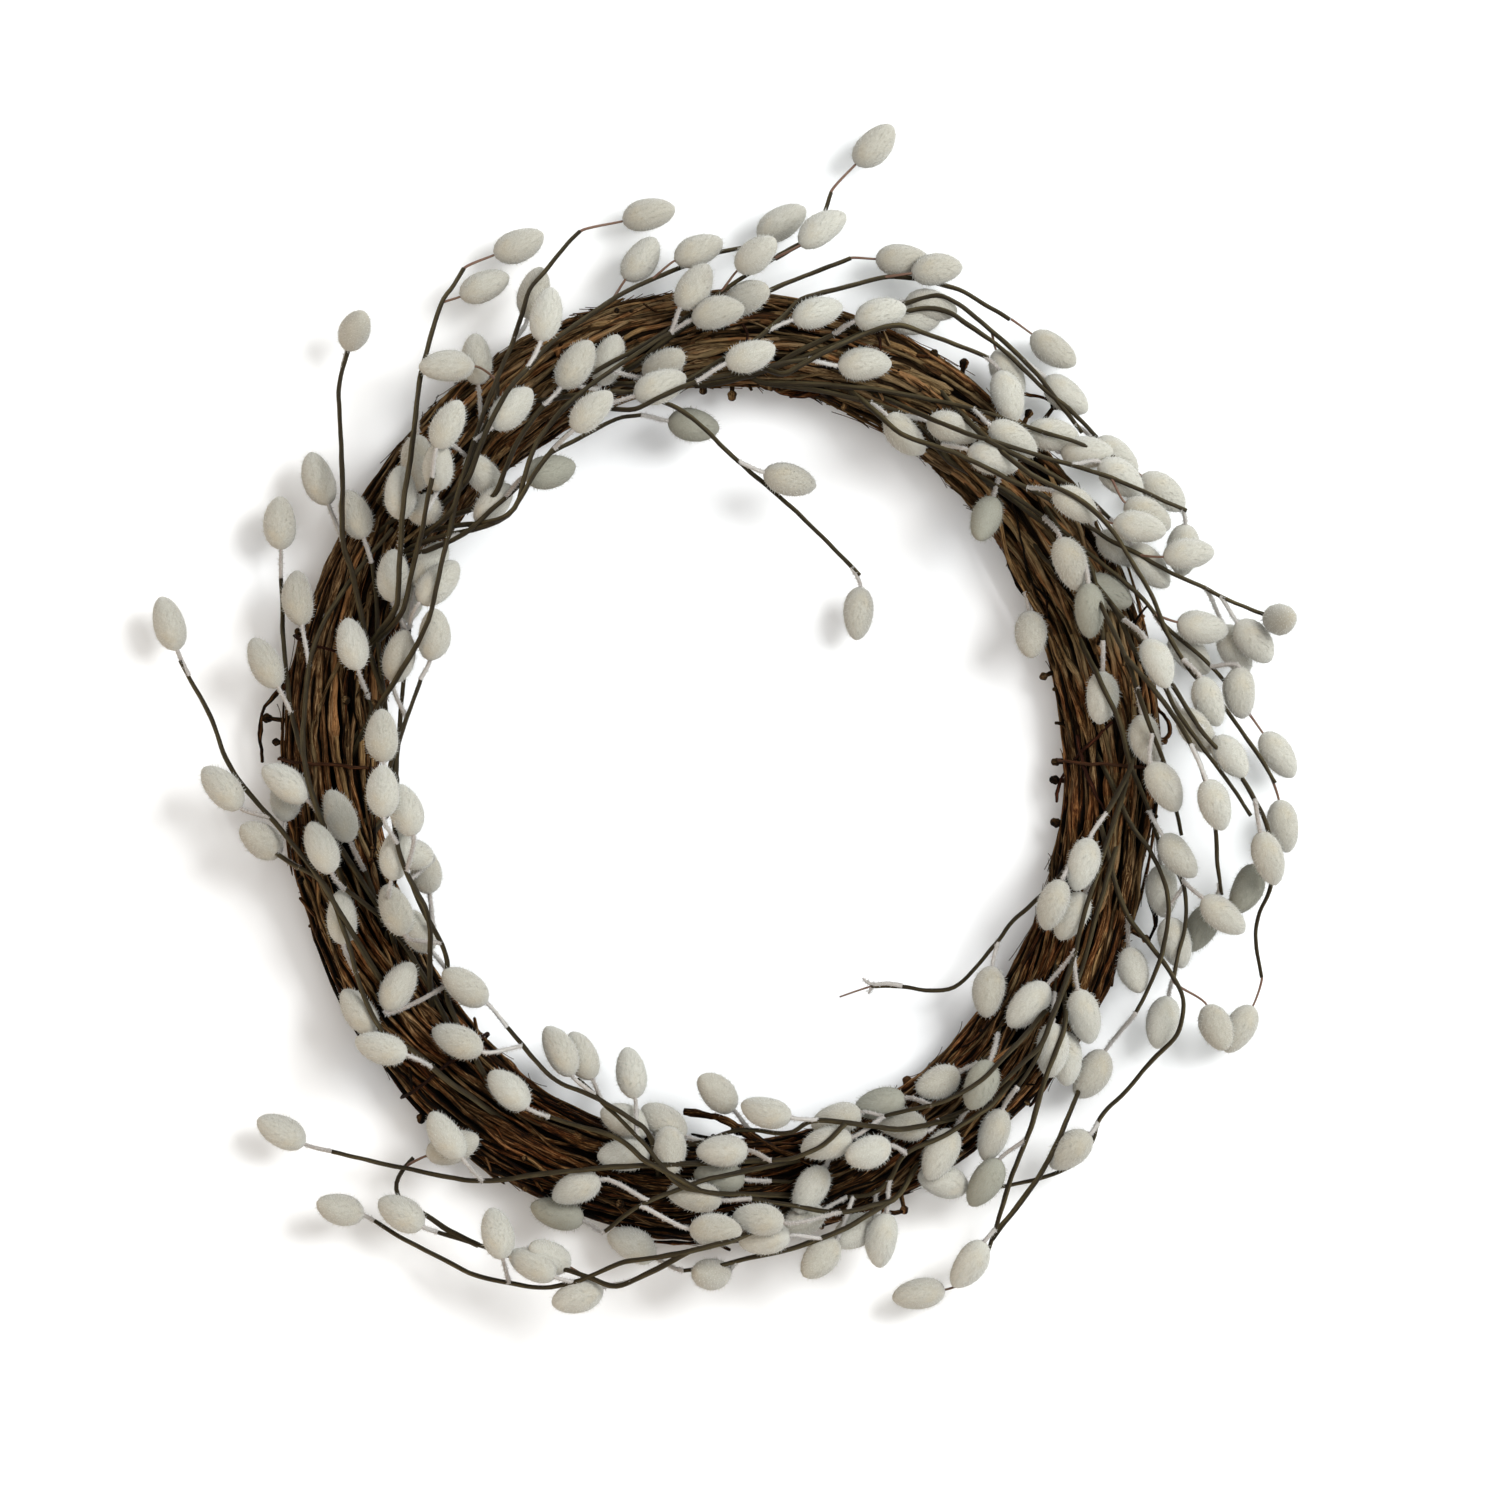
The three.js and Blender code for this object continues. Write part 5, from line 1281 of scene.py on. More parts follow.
def stalk_paths(catkins):
    """Stalks from the stems into the catkins: the cubic between two ends with their slopes.

    The slopes are those of the stem and of the catkin, 0.4 and 0.7 of the distance long, and the last
    point is inside the catkin.
    """
    start = np.array([each["from"] for each in catkins])[:, None]
    end = np.array([each["base"] for each in catkins])[:, None]
    far = np.linalg.norm(end - start, axis=-1, keepdims=True)
    leave = 0.4 * far * np.array([each["slope"] for each in catkins])[:, None]
    way = unit(np.array([each["way"] for each in catkins]))[:, None]
    s = np.linspace(0, 1, STALK_POINTS - 1)[:, None]
    path = cubic(s, start, leave, end, 0.7 * far * way)
    return np.concatenate([path, end + STALK_INSIDE * way], axis=1)


def add_stalks(pile, catkins, rng):
    """Stalks: downy ones with short hairs all round, and bare reddish ones that are thinner."""
    paths = stalk_paths(catkins)
    bare = np.array([is_listed(each, BARE_STALKS) for each in catkins])
    for chosen, radii, finish in ((~bare, DOWNY_RADII, 0), (bare, BARE_RADII, 1)):
        if not chosen.any():
            continue
        path = paths[chosen]
        radius = np.linspace(*radii, STALK_POINTS) * rng.uniform(0.9, 1.1, (len(path), 1))
        rings, unwound = tube(path, radius, 6, UP)
        pile.add_tubes(rings, unwound, rng.uniform(0.4, 0.9, len(path)), finish)
    if not bare.all():
        add_down(pile, paths[~bare], rng)


def add_down(pile, path, rng):
    """Short hairs all round the paths (paths, points, 3), at places drawn along them, leaning on."""
    counts = (lengths_along(path)[:, -1] * DOWN_PER_MM).astype(int)
    which = np.repeat(np.arange(len(path)), counts)
    at = rng.uniform(0.02, 0.88, len(which)) * (path.shape[1] - 1)
    i = at.astype(int)
    part = (at - i)[:, None]
    middle = path[which, i] * (1 - part) + path[which, i + 1] * part
    ahead = unit(path[which, i + 1] - path[which, i])
    side = unit(np.cross(UP, ahead))
    f = rng.uniform(0, 2 * np.pi, len(which))[:, None]
    out = np.cos(f) * side + np.sin(f) * np.cross(ahead, side)
    ways = unit(out + rng.uniform(0.1, 0.9, (len(which), 1)) * ahead + rng.normal(0, 0.25, out.shape))
    widths = rng.uniform(0.3, 0.5, len(which))
    lengths = rng.uniform(0.8, 2.0, len(which))
    pile.add_hairs(middle + 0.7 * out, ways, lengths, widths, rng.uniform(-0.3, 0.5, len(which)))


def add_tip(pile, stem, rng):
    """The downy sleeve and forks on the tip of a stem, at its height, and the bare twig that goes on."""
    for points, thick, thin, finish in TIP:
        line = spaced(plan(points), 50, 11)
        far = np.linalg.norm(stem["line"][None, :, :2] - line[:, None], axis=2)
        path = np.column_stack([line, stem["line"][far.argmin(axis=1), 2]])[None]
        rings, unwound = tube(path, np.linspace(thick, thin, len(line))[None], 6, UP)
        pile.add_tubes(rings, unwound, 0.6, finish)
        if finish == 0:
            add_down(pile, path, rng)


def foot(line, catkins):
    """Way of a stem's start back and down into the ring, as the points of it before the line.

    It is the cubic from the line's start, with the line's slope, to a place inside the ring. Of several
    places, further back and to either side, it is the one whose way comes least near the catkins and is
    short and straight.
    """
    back = -unit((line[3] - line[0]) * (1, 1, 0))
    s = np.linspace(0, 1, 14)[:, None]
    best = -np.inf
    for far in FOOT_LENGTHS + 0.3 * max(0, line[0, 2] - STRANDS_UP):
        for turn in np.radians(FOOT_TURNS):
            cos, sin = np.cos(turn), np.sin(turn)
            aim = np.array([back[0] * cos - back[1] * sin, back[0] * sin + back[1] * cos, 0])
            place = line[0] + far * aim
            centre, out = ring_place(angle_round(place))
            aside = np.clip((place - centre)[:2] @ out[:2], -FOOT_ASIDE, FOOT_ASIDE)
            end = centre + aside * out + FOOT_HEIGHT * UP
            way = cubic(s, line[0], 0.9 * far * back, end, far * (0.8 * aim - 0.5 * UP))
            gap = np.min(np.linalg.norm(way[3:, None] - catkins, axis=-1))
            score = min(0, gap - FOOT_CLEAR) - 0.03 * far - 3 * abs(turn)
            if score > best:
                best, found = score, way
    return found[:0:-1]


def short_stems(catkins):
    """The end of a short stem behind each stalk that comes out of the ring on its own."""
    back = np.linspace(-SHORT_STEM, 0, 5)[:, None]
    return [{"line": each["from"] + back * each["slope"], "short": True} for each in catkins if each["own"]]


def add_stems(pile, stems, thickness, catkins, rng, finish):
    """Wrapped stems: tubes that narrow towards the tip, with slow kinks, and end cut square."""
    for i, stem in enumerate(stems):
        line = stem["line"]
        if i == 0 or stem.get("short"):
            line = np.concatenate([foot(line, catkins), line])
        along = lengths_along(line)
        line = line + 0.3 * wander(along, rng, 60) * np.minimum(1, along / 10)[:, None]
        radius = thickness / 2 * np.interp(along, [0, along[-1]], [1.1, 0.8])
        creases = [1 + 0.1 * drift(along, rng, 40, 3) + rng.uniform(-0.1, 0.1) for _ in range(8)]
        turn = rng.uniform(0, 6.3) + 0.02 * along
        rings, unwound = tube(line, radius[:, None] * np.stack(creases, axis=-1), 8, UP, turn)
        last = line[-1] + 0.02 * unit(line[-1] - line[-2])
        rings = np.concatenate([rings, last + (rings[-1:] - line[-1]) * 0.9])
        unwound = np.concatenate([unwound, unwound[-1:] * (0.9, 0.9, 1)])
        own_grain(unwound, rng)
        pile.add_tubes(rings, unwound, rng.random(), finish)


def add_bud(pile, place, way, size, rng):
    """A bud on the bark: rings of radius size * sqrt(1 - t^2) along its way, for t from -0.9 to 0.95."""
    t = np.linspace(-0.9, 0.95, 7)
    path = place + (t * size * 1.15)[:, None] * way
    radius = size * np.sqrt(1 - t**2) * (1 + 0.12 * np.sin(5 * t + rng.uniform(0, 6)))
    rings, unwound = tube(path, radius, 8, np.cross(way, (0.3, 0.8, 0.5)))
    own_grain(unwound, rng)
    pile.add_tubes(rings, unwound, rng.random())


def add_listed_buds(pile, rng):
    """The buds read from the picture, each on a short spur where it stands off the edge of the ring."""
    places = plan(BUDS)
    roots, away = ring_surface(places)
    for place, root, out in zip(places, roots, away):
        bud = np.array([*place, root[2] + 0.5])
        path = np.linspace(root - 2 * out, bud, 6)
        if np.linalg.norm(bud - root) > 1:
            rings, unwound = tube(path, np.linspace(1.4, 1.0, 6), 7, out + 0.01)
            pile.add_tubes(rings, unwound, rng.random())
        add_bud(pile, bud, unit(bud - path[0]), rng.uniform(*LARGE_BUDS), rng)


def add_twigs(pile, twigs, rng):
    """Loose twigs: rough tubes through their points, lying on the ring or level with its edge.

    A twig's root goes down into the ring.
    """
    for root, tip, numbers in twigs:
        line = spaced(plan(numbers), 2, 8)
        along = lengths_along(line)
        radius = np.linspace(root, tip, len(line)) / 2
        surface, _ = ring_surface(line)
        height = surface[:, 2] + radius + TWIG_LIFT - ROOT_DEPTH * np.maximum(0, 1 - along / ROOT_LENGTH)
        path = above_floor(np.column_stack([line, smoothed(height, 3)]), radius.max())
        path = path + 0.35 * wander(along, rng, 14)
        sizes = radius[:, None] * rough(along, 1.0, 7, rng, int(along[-1] / 12) + 1)
        rings, unwound = tube(path, sizes, 7, UP)
        own_grain(unwound, rng)
        pile.add_tubes(rings, unwound, rng.uniform(-0.6, 0.2), bulge=0.2)


# Materials


def shade(red, green, blue):
    """A colour as it is seen on a screen, 0 to 255, as the numbers that shaders take."""
    seen = np.array([red, green, blue]) / 255
    return (*np.where(seen <= 0.04045, seen / 12.92, ((seen + 0.055) / 1.055) ** 2.4), 1.0)


# Dark, middle, light and weathered bark of the inner turns, all near black: painted shade for the deep
# gaps between the strands
INNER_BARK_PAINTED_SHADE = (shade(4, 3, 2), shade(20, 13, 7), shade(62, 46, 30), shade(26, 21, 15))

# Second colours of the other materials
TENDRIL_DARK = shade(32, 17, 12)
TENDRIL_LIGHT = shade(120, 72, 48)
TENDRIL_WEATHERED = shade(70, 50, 38)
BARE_STREAK = shade(96, 62, 46)
# Between the hairs of stalks, partly painted shade, and their cream patches
STALK_SHADE = shade(128, 116, 106)
STALK_CREAM = shade(160, 142, 126)
CATKIN_CREAM = shade(180, 164, 132)
# Between the hairs and in patches, on catkins painted grey where they lie in shade
SHADED_CATKIN_GAP = shade(112, 108, 94)
SHADED_CATKIN_CREAM = shade(140, 134, 116)
FLOOR_CLOUD = shade(225, 225, 225)

# Tints that the tone of a vine picks from
VINE_TINTS = (
    (0.1, shade(255, 216, 182)),
    (0.4, shade(255, 248, 236)),
    (0.65, shade(205, 203, 188)),
    (0.95, shade(255, 236, 206)),
)

# How deep the bumps are, in metres
BARK_DEPTH = 0.0011
TENDRIL_DEPTH = 0.0004
PAPER_DEPTH = 0.0006
DOWN_DEPTH = 0.0004
BARE_DEPTH = 0.0002


class Tree:
    """The nodes of a material or of a group, each added and joined in one call."""

    def __init__(self, tree):
        self.tree = tree

    def add(self, kind, inputs=(), **settings):
        """A node with its settings, and its inputs joined to sockets or given values."""
        node = self.tree.nodes.new(kind)
        for name, value in settings.items():
            setattr(node, name, value)
        for key, value in dict(inputs).items():
            if isinstance(value, bpy.types.NodeSocket):
                self.tree.links.new(value, node.inputs[key])
            else:
                node.inputs[key].default_value = value
        return node

    def attribute(self, name):
        """The values that the mesh holds under a name."""
        return self.add("ShaderNodeAttribute", attribute_name=name)

    def mix(self, factor, first, second, blend="MIX"):
        """Colour that goes from the first to the second as the factor goes from 0 to 1."""
        inputs = {0: factor, 6: first, 7: second}
        return self.add("ShaderNodeMix", inputs, data_type="RGBA", blend_type=blend).outputs[2]

    def scaled(self, value, low, high, start=0.0, end=1.0):
        """The value, with low to high stretched to start to end, and held there beyond them."""
        inputs = {"Value": value, "From Min": low, "From Max": high, "To Min": start, "To Max": end}
        return self.add("ShaderNodeMapRange", inputs).outputs[0]

    def sum(self, *parts):
        """Sum of values, each given with its weight."""
        total = None
        for value, weight in parts:
            part = self.add("ShaderNodeMath", {0: value, 1: weight}, operation="MULTIPLY").outputs[0]
            if total is not None:
                part = self.add("ShaderNodeMath", {0: total, 1: part}, operation="ADD").outputs[0]
            total = part
        return total

    def ramp(self, value, stops):
        """Colours by value, through the stops."""
        node = self.add("ShaderNodeValToRGB", {0: value})
        elements = node.color_ramp.elements
        while len(elements) < len(stops):
            elements.new(0.5)
        for element, (at, colour) in zip(elements, stops):
            element.position = at
            element.color = colour
        return node.outputs[0]


def new_group(name, inputs, outputs):
    """An empty node group with number inputs, each with a default, and number outputs."""
    group = bpy.data.node_groups.new(name, "ShaderNodeTree")
    for label, default in inputs:
        socket = group.interface.new_socket(label, in_out="INPUT", socket_type="NodeSocketFloat")
        socket.default_value = default
    for label in outputs:
        group.interface.new_socket(label, in_out="OUTPUT", socket_type="NodeSocketFloat")
    return group


def grain_group():
    """Streaks that run along a vine, stem or stalk, without a seam round it, and broad blotches.

    Noise of the unwound place in millimetres, squeezed along its length by Stretch.
    """
    group = bpy.data.node_groups.get("Bark grain")
    if group:
        return group
    group = new_group("Bark grain", (("Fineness", 1.0), ("Stretch", 12.0)), ("Fibres", "Ridges", "Blotches"))
    tree = Tree(group)
    given = tree.add("NodeGroupInput").outputs
    place = tree.attribute("unwound").outputs["Vector"]
    along = tree.add("ShaderNodeMath", {0: 1.0, 1: given["Stretch"]}, operation="DIVIDE").outputs[0]
    squeeze = tree.add("ShaderNodeCombineXYZ", {0: 1.0, 1: 1.0, 2: along}).outputs[0]
    squeezed = tree.add("ShaderNodeVectorMath", {0: place, 1: squeeze}, operation="MULTIPLY").outputs[0]
    fine = tree.add("ShaderNodeMath", {0: given["Fineness"], 1: 2.4}, operation="MULTIPLY").outputs[0]
    noises = {
        "Fibres": {"Vector": squeezed, "Scale": fine, "Detail": 4.0, "Roughness": 0.75},
        "Ridges": {"Vector": squeezed, "Scale": given["Fineness"], "Detail": 2.0, "Distortion": 0.4},
        "Blotches": {"Vector": place, "Scale": 0.09, "Detail": 3.0},
    }
    put = {label: tree.add("ShaderNodeTexNoise", inputs).outputs[0] for label, inputs in noises.items()}
    tree.add("NodeGroupOutput", put)
    return group


def new_material(name):
    """A material with a principled shader, and its nodes."""
    material = bpy.data.materials.new(name)
    material.use_nodes = True
    return material, Tree(material.node_tree), material.node_tree.nodes["Principled BSDF"]


def join(tree, shader, colour, roughness, height, depth):
    """Joins a colour, a roughness and a bump whose height is that many metres deep to a shader."""
    bump = tree.add("ShaderNodeBump", {"Height": height, "Distance": depth, "Strength": 1.0})
    for socket, value in (("Base Color", colour), ("Roughness", roughness), ("Normal", bump.outputs[0])):
        tree.tree.links.new(value, shader.inputs[socket])


def use_group(tree, group, **values):
    """The outputs of a node group, with the values as its inputs."""
    node = tree.add("ShaderNodeGroup", node_tree=group)
    for name, value in values.items():
        node.inputs[name].default_value = value
    return node.outputs


def between(first, second, share):
    """The colour at a share of the way from the first to the second."""
    return tuple(a + (b - a) * share for a, b in zip(first, second))


def bark_material(name, dark, middle, light, weathered, depth=BARK_DEPTH):
    """Stringy bark: dark between its fibres and light on them, with grey patches.

    Each vine has a tone of its own. It is lightest where it faces out of the ring, and dark down its
    sides: painted light on its outer face and painted shade where the vines press together.
    """
    material, tree, shader = new_material(name)
    grain = use_group(tree, grain_group(), Fineness=0.75, Stretch=16.0)
    tone = tree.attribute("tone").outputs["Fac"]
    # How far a point lies towards the tube's outer face: painted light there, painted shade down the sides
    over = tree.add("ShaderNodeSeparateXYZ", {0: tree.attribute("unwound").outputs["Vector"]}).outputs[1]
    over = tree.scaled(over, -0.1, 1.2)
    fibres, ridges, blotches = grain["Fibres"], grain["Ridges"], grain["Blotches"]
    value = tree.sum((fibres, 1.15), (ridges, 0.35), (tone, 0.22), (blotches, 0.2), (over, 0.24))
    stops = ((0.12, dark), (0.42, middle), (0.62, between(middle, light, 0.33)), (0.9, light))
    colour = tree.ramp(tree.scaled(value, 0.88, 1.42), stops)
    grey = tree.sum((blotches, 1.2), (tone, 0.5))
    colour = tree.mix(tree.scaled(grey, 0.75, 1.15, 0.0, 0.5), colour, weathered)
    family = tree.add("ShaderNodeMath", {0: tree.sum((tone, 7.3))}, operation="FRACT").outputs[0]
    colour = tree.mix(1.0, colour, tree.ramp(family, VINE_TINTS), "MULTIPLY")
    height = tree.sum((fibres, 0.7), (ridges, 0.8))
    join(tree, shader, colour, tree.scaled(fibres, 0.3, 0.7, 0.95, 0.7), height, depth)
    shader.inputs["Specular IOR Level"].default_value = 0.06
    return material


def stem_material(sprays):
    """Paper-wrapped stems: olive brown, paler and greener along one side as a partly painted highlight, with
    fine creases.
    """
    material, tree, shader = new_material("Wrapped stem")
    grain = use_group(tree, grain_group(), Fineness=0.9, Stretch=26.0)
    tone = tree.attribute("tone").outputs["Fac"]
    place = tree.attribute("unwound").outputs["Vector"]
    across = tree.add("ShaderNodeSeparateXYZ", {0: place}).outputs[0]
    # Across the stem one side is paler: painted highlight, with paler patches from ridges, blotches and tone
    side = tree.sum((across, 0.5), (grain["Ridges"], 1.1), (grain["Blotches"], 0.8), (tone, 0.3))
    colour = tree.mix(tree.scaled(side, 1.0, 1.75), sprays.paper, sprays.paper_pale_and_lit)
    dark = tree.scaled(grain["Fibres"], 0.36, 0.62, 0.4, 1.2)
    creases = tree.add("ShaderNodeCombineColor", {0: dark, 1: dark, 2: dark}).outputs[0]
    colour = tree.mix(1.0, colour, creases, "MULTIPLY")
    height = tree.sum((grain["Fibres"], 0.6), (grain["Ridges"], 0.6))
    join(tree, shader, colour, tree.scaled(grain["Ridges"], 0.3, 0.7, 0.62, 0.85), height, PAPER_DEPTH)
    shader.inputs["Specular IOR Level"].default_value = 0.2
    return material


def down_material(name, light, other, cream, sheen):
    """Short soft hair: light tufts that lie along the piece, with the other colour between them.

    There is more of the other colour as the tone goes up, and there are broad patches of cream. The other
    colour is partly a warmer colour under the hair and partly painted shade in the gaps between the tufts.
    """
    material, tree, shader = new_material(name)
    grain = use_group(tree, grain_group(), Fineness=1.7, Stretch=2.5)
    tone = tree.attribute("tone").outputs["Fac"]
    # Gaps between the tufts and a higher tone take the other colour: partly painted shade
    gap_and_shade = tree.sum((grain["Fibres"], -1.0), (grain["Ridges"], -0.4), (tone, 1.0))
    colour = tree.mix(tree.scaled(gap_and_shade, -0.8, 0.38), light, other)
    colour = tree.mix(tree.scaled(grain["Blotches"], 0.48, 0.72, 0.0, 0.35), colour, cream)
    join(tree, shader, colour, tree.scaled(grain["Fibres"], 0.3, 0.7, 1.0, 0.9), grain["Fibres"], DOWN_DEPTH)
    shader.inputs["Sheen Weight"].default_value = sheen
    shader.inputs["Sheen Roughness"].default_value = 0.5
    shader.inputs["Specular IOR Level"].default_value = 0.1
    return material


def bare_material(sprays):
    """Bare stalks: smooth and reddish, with faint streaks."""
    material, tree, shader = new_material("Bare stalk")
    grain = use_group(tree, grain_group(), Fineness=1.6, Stretch=10.0)
    colour = tree.mix(tree.scaled(grain["Ridges"], 0.35, 0.65), sprays.bare_stalk, BARE_STREAK)
    join(tree, shader, colour, tree.scaled(grain["Fibres"], 0.3, 0.7, 0.5, 0.7), grain["Fibres"], BARE_DEPTH)
    return material


# What a user may change


def colour_property(name, description, seen):
    """A colour, whose default is given as it is seen on a screen."""
    default = shade(*seen)
    return FloatVectorProperty(name=name, description=description, default=default, subtype="COLOR", size=4)


def length_property(name, description, default, least=0.0):
    """A length in metres."""
    return FloatProperty(name=name, description=description, default=default, min=least, unit="LENGTH")


def power_property(name, description, default):
    """The power of a lamp in watts."""
    return FloatProperty(name=name, description=description, default=default, subtype="POWER")


class VineSettings(bpy.types.PropertyGroup):
    """Sizes and colours of the vines of the ring."""

    thickness: length_property(
        name="Thickness", description="Mean thickness of a thin vine", default=0.0028, least=0.001
    )
    spread: length_property(
        name="Spread", description="How far the vines of a strand lie from its middle", default=0.0021
    )
    turns: IntProperty(name="Inner turns", description="Vines packed inside the ring", default=22, min=1)
    crossing: IntProperty(name="Crossing vines", description="Thin vines over the ring", default=30, min=1)
    dark: colour_property(name="Dark bark", description="Between the fibres", seen=(7, 5, 3))
    middle: colour_property(name="Bark", description="Most of the bark", seen=(66, 40, 15))
    light: colour_property(name="Light bark", description="On the fibres", seen=(172, 146, 112))
    weathered: colour_property(name="Weathered bark", description="Grey patches", seen=(72, 62, 46))
    tendril: colour_property(name="Tendrils", description="Reddish tendrils", seen=(62, 38, 26))


class SpraySettings(bpy.types.PropertyGroup):
    """Sizes and colours of the sprays and their catkins."""

    stem: length_property(
        name="Stem thickness", description="Thickness of a wrapped stem", default=0.0028, least=0.001
    )
    catkin: length_property(
        name="Catkin width", description="Greatest width of a catkin", default=0.0163, least=0.005
    )
    hair: length_property(
        name="Hair length", description="Mean length of the hairs on a catkin", default=0.0019
    )
    hairs: IntProperty(name="Hairs", description="Hairs on each catkin", default=330, min=1, max=400)
    down: colour_property(name="Catkins", description="White of the catkins", seen=(224, 225, 217))
    # Grey painted on the catkins that lie in shade
    down_in_painted_shade: colour_property(name="Catkins in painted shade", description="Catkins painted grey as shade", seen=(178, 177, 164))
    # Between the hairs: partly a warmer colour, partly painted shade
    shade: colour_property(name="Catkin shade", description="Between the hairs", seen=(118, 103, 76))
    paper: colour_property(name="Stems", description="Paper round the stems", seen=(42, 33, 16))
    # Paler side of the stems: partly painted highlight
    paper_pale_and_lit: colour_property(name="Stem edges", description="Paler side of the stems", seen=(80, 70, 46))
    stalk: colour_property(name="Downy stalks", description="Hair of the stalks", seen=(220, 217, 212))
    bare_stalk: colour_property(name="Bare stalks", description="Reddish stalks", seen=(106, 82, 64))


class StageSettings(bpy.types.PropertyGroup):
    """Floor and lights."""

    floor: colour_property(name="Floor", description="Colour of the floor", seen=(248, 248, 248))
    key: power_property(
        name="Key light", description="Power of the soft lamp at the upper right", default=236.0
    )
    top: power_property(name="Top light", description="Power of the broad lamp overhead", default=100.0)
    low: power_property(
        name="Low light", description="Power of the warm lamp low at the lower left", default=40.0
    )
    side: power_property(
        name="Side light", description="Power of the lamp low at the upper right", default=42.0
    )
    fill: FloatProperty(
        name="Fill", description="Strength of the light from all round", default=0.43, min=0.0
    )


class WreathSettings(bpy.types.PropertyGroup):
    """All the settings of the wreath."""

    vines: PointerProperty(type=VineSettings)
    sprays: PointerProperty(type=SpraySettings)
    stage: PointerProperty(type=StageSettings)


# Operators


def bark_of(vines):
    """The bark of the ring's vines, made once."""
    made = bpy.data.materials.get("Bark")
    return made or bark_material("Bark", vines.dark, vines.middle, vines.light, vines.weathered)


class WREATH_OT_inner_turns(bpy.types.Operator):
    """Vines packed inside the ring, painted dark as the shade between the strands"""

    bl_idname = "wreath.inner_turns"
    bl_label = "Inner turns"

    def execute(self, context):
        vines = context.scene.wreath.vines
        rng = np.random.default_rng(SEEDS["inner_turns"])
        pile = Pile()
        for path, radius, away in inner_turns(vines.turns, rng):
            add_vine(pile, path, radius, away, rng, sides=6, tone=rng.uniform(0, 0.5))
        pile.piece("inner_turns", "inner", [bark_material("Inner bark", *INNER_BARK_PAINTED_SHADE)], ["inner_vines"])
        return {"FINISHED"}


class WREATH_OT_vines(bpy.types.Operator):
    """The four long vines, each as five thin ones wound together, with slivers of peeling bark"""

    bl_idname = "wreath.vines"
    bl_label = "Vines"

    def execute(self, context):
        vines = context.scene.wreath.vines
        sizes = (vines.thickness / MM, vines.spread / MM)
        rng = np.random.default_rng(SEEDS["vines"])
        for i, (first, last) in enumerate(VINE_ENDS, 1):
            pile = Pile()
            strands = vine_strands(first, last, sizes, rng)
            for path, radius, away in strands:
                add_vine(pile, path, radius, away, rng, sides=7 if radius > 1.2 else 5)
            for kind in STRAND_SLIVERS:
                add_slivers(pile, strands, kind, rng)
            pile.piece(f"vine_{i}_strands", "vine", [bark_of(vines)], [f"vine_{i}"])
        return {"FINISHED"}


class WREATH_OT_crossing_vines(bpy.types.Operator):
    """Thin vines across the ring, with the buds and broken twigs of the bark"""

    bl_idname = "wreath.crossing_vines"
    bl_label = "Crossing vines"

    def execute(self, context):
        vines = context.scene.wreath.vines
        rng = np.random.default_rng(SEEDS["crossing_vines"])
        pile = Pile()
        crossing = crossing_vines(vines.crossing, rng)
        for path, radius, away in crossing:
            add_vine(pile, path, radius, away, rng, sides=7)
        add_slivers(pile, crossing, CROSSING_SLIVERS, rng)
        for path, radius, away in crossing:
            for at in rng.integers(4, len(path) - 4, VINE_BUDS):
                out = unit(away[at] + rng.normal(0, 0.7, 3))
                add_bud(pile, path[at] + radius * out, out, rng.uniform(*SMALL_BUDS), rng)
        add_listed_buds(pile, rng)
        add_twigs(pile, TWIGS, rng)
        add_stubs(pile, STUBS, rng)
        pile.piece("crossing_vines", "vine", [bark_of(vines)])
        return {"FINISHED"}


class WREATH_OT_tendrils(bpy.types.Operator):
    """Reddish tendrils over the face of the ring"""

    bl_idname = "wreath.tendrils"
    bl_label = "Tendrils"

    def execute(self, context):
        vines = context.scene.wreath.vines
        rng = np.random.default_rng(SEEDS["tendrils"])
        pile = Pile()
        share = np.linspace(0, 1, 60)
        for place in TENDRIL_PLACES:
            angle = np.radians(place + 2 * share - 1)
            roll = np.radians(TENDRIL_ROLL[0] + (TENDRIL_ROLL[1] - TENDRIL_ROLL[0]) * share)
            path, away = wound(angle, roll, STRANDS_OUT + TENDRIL_LIFT, STRANDS_UP + TENDRIL_LIFT)
            path = path + 0.5 * wander(lengths_along(path), rng, 30)
            aside = np.cross(unit(np.gradient(path, axis=0)), away)
            add_vine(pile, above_floor(path, TENDRIL_RADIUS), TENDRIL_RADIUS, aside, rng, sides=6)
        add_twigs(pile, TENDRILS, rng)
        colours = (TENDRIL_DARK, vines.tendril, TENDRIL_LIGHT, TENDRIL_WEATHERED)
        red = bark_material("Tendril", *colours, TENDRIL_DEPTH)
        pile.piece("tendrils", "tendril", [red], [f"tendril_{i}" for i in range(1, 5)])
        return {"FINISHED"}


class WREATH_OT_stems(bpy.types.Operator):
    """Wrapped stems of the sprays, one piece for each side of the ring"""

    bl_idname = "wreath.stems"
    bl_label = "Stems"

    def execute(self, context):
        settings = context.scene.wreath
        rng = np.random.default_rng(SEEDS["stems"])
        finishes = [stem_material(settings.sprays), bark_of(settings.vines)]
        every = [each for spray in READ.values() for each in spray["catkins"]]
        base, way, _, _ = catkin_axes(every)
        catkins = np.concatenate([base + share * way for share in (0.2, 0.5, 0.8)])
        for side, names in SIDES.items():
            pile = Pile()
            thickness = settings.sprays.stem / MM * STEM_GIRTHS[side]
            for name in names:
                add_stems(pile, READ[name]["stems"], thickness, catkins, rng, int(name == "loose_vine"))
                add_stems(pile, short_stems(READ[name]["catkins"]), 0.85 * thickness, catkins, rng, 0)
            pile.piece(f"stems_{side}", "spray", finishes, names)
        return {"FINISHED"}


